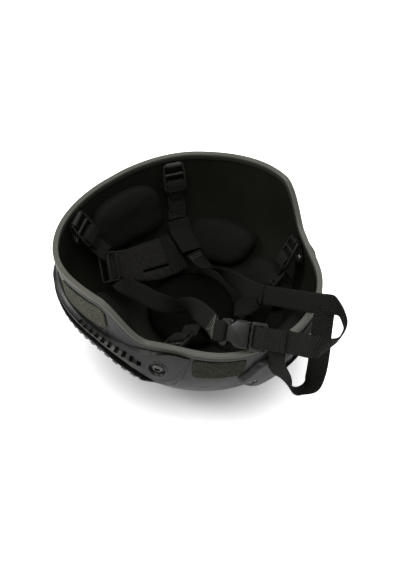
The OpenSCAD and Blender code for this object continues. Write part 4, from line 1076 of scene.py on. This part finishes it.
def make_patches():
    """Loop patches: rounded four-sided fields on the shell, whose pile stands up unevenly."""
    rng = np.random.default_rng(PATCH_SEED)
    x, y = power_ring(160, 9)
    profile = ([(f, 1.0) for f in np.linspace(0.03, 0.965, 36)]
               + [(0.985, 0.93), (0.997, 0.7), (1, 0.4), (1, 0.05)]
               + [(f, 0.0) for f in np.linspace(0.95, 0.1, 10)])
    f, h = np.array(profile).T[..., None]
    for which, (key, corners) in PATCHES.items():
        q = quad_point(corners, f * x, f * y)
        pile = rng.uniform(-0.2, 0.02, q.shape[:2]) * (h > 0.9) * smooth((f - 0.2) / 0.5)
        middle = quad_point(corners, 0, 0)
        points, faces = skin(on_wall(q[..., 0], q[..., 1], SEAT + h * PATCH_T + pile),
                             on_wall(*middle, SEAT + PATCH_T - 0.05), on_wall(*middle, SEAT))
        for s, side in ((1, "right"), (-1, "left")):
            skin_piece(f"{side}_{which}_pile", (points * (1, s, 1), faces), key,
                       f"{side}_{which}_patch", sharp=80)


def bowl_point(x, y, h):
    """Point h above the bottom of the bowl."""
    def z(a, b):
        share = np.hypot(a, b) / plan_r(np.arctan2(b, a), WALL)
        return DOME_H - CROWN_CUT - (DOME_H - WALL) * (1 - share ** DOME_M) ** (1 / DOME_M)
    slope = [z(x - 0.5, y) - z(x + 0.5, y), z(x, y - 0.5) - z(x, y + 0.5), np.ones_like(x)]
    return np.stack([x, y, z(x, y)], -1) + np.asarray(h)[..., None] * unit(np.stack(slope, -1))


# Pads on the wall: corners as angle and height, side and thickness
PAD_T, PAD_GAP, PAD_SIDES = 19.0, 1.9, 120
PADS = {
    "right_front_pad": ([[88, 60], [47, 63], [47, 25], [92, 25]], 1, PAD_T - 4),
    "left_front_pad": ([[90, 58], [53, 58], [53, 20], [90, 20]], -1, PAD_T),
    "right_rear_pad": ([[139, 76], [91, 76], [97, 30], [139, 29]], 1, PAD_T),
    "left_rear_pad": ([[139, 66], [94, 66], [96, 20], [137, 22]], -1, PAD_T),
    "front_pad": ([[-33, 92], [33, 92], [27, 42], [-27, 42]], 1, PAD_T),
    "rear_pad": ([[156, 131], [199.5, 134], [202.5, 66], [152, 60]], 1, PAD_T - 4),
}
CROWN_MID, CROWN_R = (-16.0, 14.0), 52.0
PAD_LINE = np.array([(0.04, 0.985), (0.4, 0.98), (0.62, 0.955), (0.78, 0.9), (0.88, 0.81),
                     (0.945, 0.69), (0.985, 0.54), (1.0, 0.4), (0.99, 0.27), (0.965, 0.18),
                     (0.955, 0.13), (0.985, 0.1), (0.985, 0.035), (0.94, 0.0), (0.6, 0.0),
                     (0.3, 0.0)])
# Swelling, in millimetres: voxel of the coarse cover, most that a point moves, reach of its pull
SWELL_VOXEL, SWELL_CAP, SWELL_REACH = 4.5, 1.8, 6.0
SWELL_FRAMES, SWELL_PRESSURE, SWELL_MASS = 20, 4.0, 0.3


def pad_profile():
    """Shares of a pad's radius and thickness, from its middle over its edge and hem to its back."""
    p = PAD_LINE
    s = np.r_[0, np.cumsum(np.hypot(*np.diff(p, axis=0).T))]
    u = np.linspace(0, s[-1], 64)
    return np.interp(u, s, p[:, 0])[:, None], np.interp(u, s, p[:, 1])[:, None]


def swollen(piece):
    """Swells a pad's cover as cloth under pressure and carries the shift over to its finer mesh."""
    scene = bpy.context.scene
    coarse = in_scene("swelling", piece.data.copy())
    remesh = coarse.modifiers.new("voxels", "REMESH")
    remesh.mode, remesh.voxel_size = "VOXEL", SWELL_VOXEL * MM
    apply_modifiers(coarse)
    rest = mesh_points(coarse.data)
    cloth = coarse.modifiers.new("cloth", "CLOTH").settings
    cloth.use_pressure, cloth.uniform_pressure_force = True, SWELL_PRESSURE
    cloth.effector_weights.gravity, cloth.mass = 0.0, SWELL_MASS
    scene.frame_start, scene.frame_end = 1, SWELL_FRAMES
    for k in range(1, SWELL_FRAMES + 1):
        scene.frame_set(k)
    graph = bpy.context.evaluated_depsgraph_get()
    moved = mesh_points(coarse.evaluated_get(graph).data) - rest
    scene.frame_set(1)
    coarse.modifiers.clear()
    size = np.linalg.norm(moved, axis=1, keepdims=True)
    moved *= np.minimum(1, SWELL_CAP * MM / np.maximum(size, 1e-9))
    fine = mesh_points(piece.data)
    shift = np.empty_like(fine)
    for rows in np.array_split(np.arange(len(fine)), len(fine) // 1000 + 1):
        gap = ((fine[rows, None] - rest[None]) ** 2).sum(-1)
        weight = np.exp(-gap / (SWELL_REACH * MM) ** 2)
        shift[rows] = (weight[..., None] * moved[None]).sum(1) / weight.sum(1)[:, None]
    piece.data.vertices.foreach_set("co", (fine + shift).astype(np.float32).ravel())
    piece.data.update()
    data = coarse.data
    bpy.data.objects.remove(coarse)
    bpy.data.meshes.remove(data)


def mesh_points(mesh):
    """The mesh's points as an array."""
    p = np.empty(3 * len(mesh.vertices))
    mesh.vertices.foreach_get("co", p)
    return p.reshape(-1, 3)


def make_pads():
    """Foam pads: crowned lobes over a sewn hem, on the wall and on the bottom of the bowl."""
    def pad(name, part, key, slot):
        piece = skin_piece(f"{name}_cover", part, key, name, sharp=70)
        swollen(piece)
    f, h = pad_profile()
    x, y = power_ring(PAD_SIDES, 3)
    puff = 0.012 * np.sin(9 * np.arctan2(y, x))[None] * (f > 0.7) * (h > 0.2)
    for name, (corners, side, thick) in PADS.items():
        q, middle = quad_point(corners, f * x, f * y), quad_point(corners, 0, 0)
        top = PAD_GAP + thick * PAD_LINE[0, 1]
        points, faces = skin(in_wall(q[..., 0], q[..., 1], PAD_GAP + (h + puff) * thick),
                             in_wall(*middle, top), in_wall(*middle, PAD_GAP))
        pad(name, (points * (1, side, 1), faces), "pad", "pad")
    q, r = circle(PAD_SIDES), f * CROWN_R
    a, b = CROWN_MID
    height = np.broadcast_to(PAD_GAP + h * PAD_T, (len(f), PAD_SIDES))
    top = PAD_GAP + PAD_T * PAD_LINE[0, 1]
    part = skin(bowl_point(a + r * np.cos(q), b + r * np.sin(q), height),
                bowl_point(a, b, top), bowl_point(a, b, PAD_GAP))
    pad("crown_pad", part, "crown", "crown_pad")


# Adjuster: outline of its open ladder frame and tab, and its tab's ribs
LOCK_OUTLINE = [(-11.6, 1.7), (-12.4, -3), (-13.5, -10), (-13.5, -28.5), (-11.4, -32.2),
                (-8.4, -32.4), (-6.2, -41.9), (6.2, -41.9), (8.4, -32.4), (11.4, -32.2),
                (13.5, -28.5), (13.5, -10), (12.4, -3), (11.6, 1.7), (9.4, 1.7), (9.9, -4),
                (10.3, -10), (10.3, -26.6), (-10.3, -26.6), (-10.3, -10), (-9.9, -4), (-9.4, 1.7)]
RIB_YS = (-34.5, -36.8, -39.1)


def make_adjusters():
    """The four strap adjusters: a ladder frame narrow at its hinge, two bars and a ribbed tab."""
    points, faces = plate_part([rounded(LOCK_OUTLINE, 1.4)], LOCK_T, 0.9)
    tab = smooth((-31 - points[:, 1]) / 3)
    points[:, 2] = points[:, 2] * (1 - 0.38 * tab) + tab * 0.4
    bar, rib = rod(11, LOCK_T - 0.2, LOCK_T - 0.5), rod(5.4, 1.1, 0.9, 10)
    part = joined((points, faces), rod(11, BAR_D, BAR_D),
                  *(placed(move(0, y), bar) for y in BAR_YS),
                  *(placed(move(0, y, 1.55), rib) for y in RIB_YS))
    for corner in CORNERS:
        skin_piece(f"{corner}_ladder_lock", placed(lock_matrix(corner), part), "hardware",
                   f"{corner}_adjuster", f"{corner}_adjuster_body", 40)


# Sewn patches as length along the band from its end or start, half width and rows; bars of the turn
CHIN_PATCH, FRONT_PATCH, TACK_HALF, TURN_TACKS = (46, 16, 8.4, 9), (72, 96, 8.2, 7), 8.5, (3, 11)
# Pale thick thread of the left chin patch: pitch, length and girth
PALE_THREAD = (2.3, 1.6, 0.8)


def make_straps():
    """Webbing: the upper straps through their adjusters, the chin straps and the plug's turn."""
    for corner in CORNERS:
        band = Band(end_route(corner) + start_route(corner) + route(corner))
        piece = skin_piece(f"{corner}_upper_strap", band_part(band, WEB_T), "webbing",
                           [f"{corner}_webbing_end", f"{corner}_strap"], None, 60)
        start, end = lock_point(corner, (0, -44, 2)), lock_point(corner, (0, -58, -0.4))
        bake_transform(piece)
    e = RECEIVER_END
    into_receiver = buckle_route([(e - 8, 1.2), (e - 3, 4.4), (e + 1.2, 5.5), (e + 4, 4),
                                  (e + 4.4, 0.5)])
    to_plug = buckle_route([(STRAIGHT_TO, 0), (40, 0), (PLUG_TRAVEL + PLUG_END + 1, 0)])
    under_plug = buckle_route([(20, -9), (34, -5.2), (46, -4.8), (51, -3.4), (STRAIGHT_TO, -LEG_N)])
    bands = {
        "left_chin": Band(route("left_chin") + into_receiver),
        "right_chin": Band(route("right_chin")),
        "chin_front": Band(route("chin_front") + to_plug),
        "under_chin": Band(route("under_chin") + under_plug),
    }
    for name, band in bands.items():
        skin_piece(f"{name}_webbing", band_part(band, WEB_T), "webbing", f"{name}_strap",
                   sharp=60)
    lift = PLUG_T / 2 + FACE + WEB_T / 2
    half = [(TURN_L, LEG_N), (14, LEG_N), (9, lift), (4.6, lift + 0.2), (0.6, TURN_R + 0.3),
            (-0.72 * TURN_R, 0.72 * TURN_R)]
    turn_band = Band(buckle_route(half + [(-TURN_R, 0)] + [(x, -z) for x, z in half[::-1]]), 1.2)
    skin_piece("plug_webbing", band_part(turn_band, WEB_T), "webbing", "buckle_webbing_turn",
               "plug_body", 60)
    h, last, end = WEB_T / 2, bands["left_chin"].s[-1], turn_band.s[-1]
    from_end, to_end, half_w, rows = CHIN_PATCH
    patch = sewn_patch(last - from_end, last - to_end, half_w, rows)
    tacks = [bar_tack(s, TACK_HALF) for s in (4, 7)]
    sewn = joined(*both_faces(bands["left_chin"], patch, h, *PALE_THREAD),
                  *both_faces(bands["right_chin"], tacks, h))
    skin_piece("strap_stitching", sewn, "thread")
    sewn = both_faces(bands["chin_front"], sewn_patch(*FRONT_PATCH), h)
    skin_piece("front_stitching", joined(*sewn), "dark_thread")
    first, second = TURN_TACKS
    bars = [bar_tack(s, TACK_HALF) for s in (first, second, end - second, end - first)]
    skin_piece("turn_stitching", stitches(turn_band, bars, -h), "dark_thread",
               body="plug_body")


# Nape band: length of its hem, and its slit's place before the hem, size and shift across
NAPE_HEM, SLIT_BACK, SLIT_L, SLIT_W, SLIT_ACROSS = 17, 16, 33, 2.6, -9.4
# Slider: place, directions, half width, thickness, and middle and half of its windows
SLIDER_AT, SLIDER_X, SLIDER_SIDE = (-83.5, -48.2, 80.4), (0.25, 0.95, -0.2), (-0.6, 0.05, 0.8)
SLIDER_HALF_W, SLIDER_T, SLIDER_MID, SLIDER_WINDOW = 11, 2.4, 5.2, 3.2


def make_nape():
    """Nape band with its slit, the sewn sleeve, their stitching and the slider frame."""
    band = Band(route("nape"), 1.2, NAPE_WIDTHS)
    piece = skin_piece("nape_band_cloth", band_part(band, NAPE_T), "nape", "nape_band",
                       sharp=60)
    length = band.s[-1]
    hem = length - NAPE_HEM
    middle = hem - SLIT_BACK
    k = int(np.argmin(np.abs(band.s - middle)))
    e, f = band.e[k], band.f[k]
    m = matrix(np.cross(e, f), e, f, band.at(middle, SLIT_ACROSS, 0))
    cut(piece, placed(m, box_part(about(SLIT_L / 2), about(SLIT_W / 2), about(5))))
    sleeve = Band(route("sleeve"), widths=SLEEVE_W)
    points, faces, uv = band_part(sleeve, SLEEVE_T)
    u, v = np.meshgrid(np.linspace(0, 1, 24), np.linspace(-1, 1, 30), indexing="ij")
    s = hem + u * (length + 3 - hem)
    across = v * (np.interp(hem + u * NAPE_HEM, band.s, band.w) / 2 + 0.4)
    low = NAPE_T / 2 + 0.35
    high = low + 0.9
    front, back = (band.at(s, across, np.full_like(s, h)) for h in (high, low))
    panel, sides = skin(np.concatenate([front, back[:, ::-1]], 1))
    flat = np.stack([s, across], -1)
    flat = np.concatenate([flat, flat[:, ::-1]], 1).reshape(-1, 2)
    uv = np.concatenate([uv, flat, [[hem, 0], [length, 0]]])
    skin_piece("nape_sleeve_cloth", (*joined((points, faces), (panel, sides)), uv), "webbing",
               "nape_sleeve", sharp=60)
    x = unit(SLIDER_X)
    z = unit(np.cross(x, SLIDER_SIDE))
    windows = [rounded(rectangle(s * SLIDER_MID - SLIDER_WINDOW, s * SLIDER_MID + SLIDER_WINDOW,
                                 SLIDER_INNER / 2 + 0.2), 1) for s in (-1, 1)]
    rim = rounded(rectangle(-SLIDER_HALF_W, SLIDER_HALF_W, SLIDER_INNER / 2 + 2), 3)
    m = matrix(x, np.cross(z, x), z, SLIDER_AT) @ move(z=SLIDER_T / 2)
    skin_piece("slider_frame", placed(m, plate_part([rim] + windows, SLIDER_T, 0.7)), "hardware",
               "nape_slider", sharp=40)
    half = np.array(NAPE_WIDTHS) / 2 - 1.8
    at = np.linspace(0, length, len(half))
    edges = [((at[k], v * half[k]), (at[k + 1], v * half[k + 1]))
             for v in (-1, 1) for k in range(len(half) - 2)]
    sleeve_lines = [((2, v), (sleeve.s[-1] - 2, v)) for v in (-11, 11)] + [bar_tack(4, 10)]
    sewn = joined(*both_faces(band, edges, NAPE_T / 2),
                  stitches(band, [bar_tack(hem + 2, 19)], high),
                  *both_faces(sleeve, sleeve_lines, SLEEVE_T / 2))
    skin_piece("nape_stitching", sewn, "dark_thread")


ARM_OUTLINE = np.array([[-7.2, 7], [-7.2, 10], [-15.5, 10.2], [-17, 13.2], [-22, 13], [-25.5, 9.6],
                        [-25.5, 7.6], [-20, 8.2], [-15, 7.8]])


def make_buckle():
    """Side-release buckle: hollow receiver, the plug's ladder frame and tongue, two barbed arms."""
    def in_buckle(name, part, node, body="helmet"):
        return skin_piece(name, placed(BUCKLE, part), "hardware", node, body, 40)
    e, w, mouth = RECEIVER_END, BUCKLE_W / 2, RECEIVER_END + RECEIVER_L
    half = [(e, w - 2.2), (e + 5, w - 1.6), (e + 8, w - 4.6), (e + 11.5, w - 4.6),
            (e + 14.5, w - 1), (e + 18, w), (mouth, w - 1)]
    outline = rounded(half + [(x, -y) for x, y in half[::-1]], 1.6)
    slot = rounded(rectangle(e + 2.6, e + 5.8, WINDOW_HALF), 0.8)
    body = plate_part([outline, slot], RECEIVER_T, 2.2)
    piece = in_buckle("receiver_body", body, "buckle_receiver")
    cut(piece, placed(BUCKLE, box_part((e + 8, mouth + 1), about(w - 2.2), about(3))))
    for s in (-1, 1):
        side = box_part((mouth - 17, mouth - 8), (s * w - 3.1, s * w + 3.1), about(2.7))
        cut(piece, placed(BUCKLE, side))
    shaded(piece.data, 38)
    rim = rounded(rectangle(-7, PLUG_END, w), 1.8)
    window = rounded(rectangle(-4.6, 4.6, WINDOW_HALF), 1.2)
    plug = joined(plate_part([rim, window], PLUG_T, 1.0),
                  placed(turn(90, "Z"), rod(12.4, PLUG_BAR_D, PLUG_BAR_D)),
                  plate_part([rounded(rectangle(-24, -6.8, 2.2), 1)], 2.8, 0.5))
    in_buckle("plug_ladder", plug, "buckle_plug", "plug_body")
    for s, name in ((1, "upper"), (-1, "lower")):
        arm = plate_part([rounded(ARM_OUTLINE * (1, s), 0.9)], 3.8, 0.5)
        in_buckle(f"{name}_latch_arm", arm, f"buckle_arm_{name}", f"{name}_arm_body")


def dress_nodes():
    """Finish of the node that stays as it is."""
    dressed(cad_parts["pad_hook_discs"].data, material("hook"))


# Stage in metres and degrees: the point looked at, the camera, and lamps as place, size and watts
LOOK_AT = Vector((0, 0, 0.08))
CAMERA_TURN, CAMERA_RISE, CAMERA_FAR = 46.63, 47.72, 0.8194
CAMERA_LENS, CAMERA_SHIFT = 47.80, (0.01447, 0.0012)
LAMPS = {
    "back_softbox": ((-0.35, 0.95, 1.5), 1.3, 7.0),
    "top_softbox": ((0.3, -0.35, 1.7), 0.9, 11.0),
    "left_softbox": ((-1.2, -1.0, 1.0), 0.6, 12.0),
}
FLOOR_HALF, FLOOR_GREY, FLOOR_ROUGH = 4, (0.93, 0.95), 0.8
# The camera sees the floor's shade within the first distance, and plain white past the second
FLOOR_FADE, FLOOR_GLOW = (0.06, 0.2), (0.02, 1.0)
# What gloss sees of the surroundings: at the horizon, at the top, and how high that is
HORIZON, ZENITH, ZENITH_AT = 0.9, 0.12, 0.55


def make_floor():
    """Pale floor that takes the object's shadow and turns white further out, for the camera."""
    mesh = bpy.data.meshes.new("floor")
    x = FLOOR_HALF
    mesh.from_pydata([(-x, -x, 0), (x, -x, 0), (x, x, 0), (-x, x, 0)], [], [(0, 1, 2, 3)])
    floor = in_scene("floor", mesh)
    mat = bpy.data.materials.new("pale_floor")
    mat.use_nodes = True
    tree = mat.node_tree
    shader = tree.nodes["Principled BSDF"]
    where = add(tree, "ShaderNodeTexCoord").outputs["Object"]
    level = spread(tree, noise(tree, where, 3, 2), 0.3, 0.7, *FLOOR_GREY)
    grey = add(tree, "ShaderNodeCombineColor", {0: level, 1: level, 2: level}).outputs[0]
    tree.links.new(grey, shader.inputs["Base Color"])
    shader.inputs["Roughness"].default_value = FLOOR_ROUGH
    far = add(tree, "ShaderNodeVectorMath", {0: where}, operation="LENGTH").outputs["Value"]
    (near, away), (dim, full) = FLOOR_FADE, FLOOR_GLOW
    glow = add(tree, "ShaderNodeMapRange", {0: far, 1: near, 2: away, 3: dim, 4: full},
               interpolation_type="SMOOTHSTEP").outputs[0]
    seen = add(tree, "ShaderNodeLightPath").outputs["Is Camera Ray"]
    shader.inputs["Emission Color"].default_value = (1, 1, 1, 1)
    tree.links.new(calc(tree, "MULTIPLY", glow, seen), shader.inputs["Emission Strength"])
    mesh.materials.append(mat)


def make_surroundings():
    """Pale surroundings: even light, brighter low down in gloss, and white to the camera."""
    world = bpy.data.worlds.new("surroundings")
    bpy.context.scene.world = world
    world.use_nodes = True
    tree = world.node_tree
    path = add(tree, "ShaderNodeLightPath")
    way = add(tree, "ShaderNodeTexCoord").outputs["Generated"]
    rise = add(tree, "ShaderNodeSeparateXYZ", {0: way}).outputs[2]
    level = sizes().sky_level
    more = calc(tree, "SUBTRACT", spread(tree, rise, 0.0, ZENITH_AT, HORIZON, ZENITH), level)
    power = calc(tree, "ADD", level, calc(tree, "MULTIPLY", path.outputs["Is Glossy Ray"], more))
    power = calc(tree, "MAXIMUM", power, path.outputs["Is Camera Ray"])
    tree.links.new(power, tree.nodes["Background"].inputs["Strength"])
    tree.nodes["Background"].inputs["Color"].default_value = (1, 1, 1, 1)


def aim(ob, place, way):
    """Puts a lamp or camera at a place, looking along a direction."""
    ob.location = place
    ob.rotation_mode = "QUATERNION"
    ob.rotation_quaternion = way.to_track_quat("-Z", "Y")


def make_stage():
    """Floor, pale surroundings, soft lamps and the camera."""
    make_floor()
    make_surroundings()
    for name, (place, size, watts) in LAMPS.items():
        data = bpy.data.lights.new(name, "AREA")
        data.size, data.energy = size, watts * sizes().lamp_level
        aim(in_scene(name, data), place, LOOK_AT - Vector(place))
    data = bpy.data.cameras.new("camera")
    data.lens, (data.shift_x, data.shift_y) = CAMERA_LENS, CAMERA_SHIFT
    scene, cam = bpy.context.scene, in_scene("camera", data)
    az, el = math.radians(CAMERA_TURN), math.radians(CAMERA_RISE)
    back = Vector((math.sin(az) * math.cos(el), -math.cos(az) * math.cos(el), math.sin(el)))
    aim(cam, LOOK_AT + back * CAMERA_FAR, -back)
    scene.camera = cam
    scene.view_settings.view_transform = "Standard"


class HelmetSizes(PropertyGroup):
    """Sizes that a user would change."""

    trim_groove: FloatProperty(
        name="Trim groove", default=0.45, min=0.0, max=0.8,
        description="Depth of the groove in the trim's outer lip, in millimetres")
    edge_round: FloatProperty(
        name="Edge rounding", description="Rounding of moulded edges, in millimetres",
        default=0.35, min=0.05, max=1.0)
    sky_level: FloatProperty(
        name="Surroundings", description="Light that the surroundings give",
        default=0.45, min=0.0, max=2.0, subtype="FACTOR")
    lamp_level: FloatProperty(
        name="Lamps", description="Strength of the lamps",
        default=1.0, min=0.0, max=4.0, subtype="FACTOR")


def colour_property(name, description, default):
    """Colour value of the panel."""
    return FloatVectorProperty(name=name, description=description, subtype="COLOR", size=3,
                               min=0, max=1, default=default)


class HelmetColours(PropertyGroup):
    """Colours of the finishes."""

    shell: colour_property("Shell", "Colour of the shell", (0.0175, 0.0182, 0.0172))
    inside: colour_property("Inside", "Colour of the shell's inner face", (0.0105, 0.0111, 0.0074))
    trim: colour_property("Trim", "Colour of the edge trim", (0.088, 0.088, 0.071))
    rail: colour_property("Rails", "Colour of the side rails", (0.007, 0.0075, 0.006))
    plate: colour_property("Plate", "Colour of the front mount plate", (0.0095, 0.0098, 0.0086))
    pile: colour_property("Side patches", "Colour of the side loop patches", (0.066, 0.066, 0.049))
    front_pile: colour_property("Front patches", "Colour of the front loop patches",
                                (0.027, 0.029, 0.02))
    webbing: colour_property("Webbing", "Colour of the webbing", (0.0073, 0.0071, 0.0059))
    pad: colour_property("Pads", "Colour of the pads", (0.0108, 0.011, 0.0096))
    crown: colour_property("Crown pad", "Colour of the crown pad", (0.0042, 0.0043, 0.0036))
    hardware: colour_property("Hardware", "Colour of adjusters and buckle",
                              (0.0085, 0.0083, 0.0074))
    thread: colour_property("Thread", "Colour of the sewing thread", (0.1, 0.098, 0.083))
    nape: colour_property("Nape band", "Colour of the nape band", (0.0135, 0.013, 0.0112))


def operator(key, label, build, text):
    """Operator class that runs one builder."""
    def execute(self, context):
        build()
        return {"FINISHED"}
    return type(f"HELMET_OT_{key}", (Operator,), {
        "bl_idname": f"helmet.{key}", "bl_label": label, "__doc__": text,
        "bl_options": {"REGISTER", "UNDO"}, "execute": execute})


OPERATORS = [
    operator("shell", "Build the shell", make_shell, "Shell with its inner and outer face"),
    operator("trim", "Build the edge trim", make_trim, "Grooved trim over the rim"),
    operator("rails", "Build the side rails", make_rails, "Rails with slots and bolt pockets"),
    operator("fixings", "Build the fixings", make_fixings, "Bolts, dome nuts and strap brackets"),
    operator("plate", "Build the mount plate", make_plate, "Front mount plate and its screws"),
    operator("patches", "Build the loop patches", make_patches, "Four patches of loop pile"),
    operator("pads", "Build the pads", make_pads, "Foam pads with sewn hems"),
    operator("adjusters", "Build the adjusters", make_adjusters, "Four ladder adjusters"),
    operator("straps", "Build the straps", make_straps, "Woven straps and their stitching"),
    operator("nape", "Build the nape band", make_nape, "Nape band, sleeve and slider"),
    operator("buckle", "Build the buckle", make_buckle, "Receiver, plug and latch arms"),
    operator("finishes", "Finish the other node", dress_nodes, "Material of the hook discs"),
    operator("stage", "Set the stage", make_stage, "Floor, lamps, surroundings and camera"),
]


class HELMET_PT_panel(Panel):
    """Sizes, colours and steps of the helmet."""

    bl_label = "Helmet"
    bl_idname = "HELMET_PT_panel"
    bl_space_type = "VIEW_3D"
    bl_region_type = "UI"
    bl_category = "Helmet"

    def draw(self, context):
        for group in (context.scene.helmet_sizes, context.scene.helmet_colours):
            for key in group.__annotations__:
                self.layout.prop(group, key)
        for o in OPERATORS:
            self.layout.operator(o.bl_idname)


CLASSES = [HelmetSizes, HelmetColours, *OPERATORS, HELMET_PT_panel]


def register():
    """Adds the classes and the scene's values."""
    for c in CLASSES:
        bpy.utils.register_class(c)
    bpy.types.Scene.helmet_sizes = PointerProperty(type=HelmetSizes)
    bpy.types.Scene.helmet_colours = PointerProperty(type=HelmetColours)


def unregister():
    """Takes them away again."""
    del bpy.types.Scene.helmet_colours
    del bpy.types.Scene.helmet_sizes
    for c in reversed(CLASSES):
        bpy.utils.unregister_class(c)


def main():
    """Builds everything in order and writes both boxes."""
    register()
    for o in OPERATORS:
        getattr(bpy.ops.helmet, o.bl_idname.split(".")[1])()


if __name__ == "__main__":
    main()
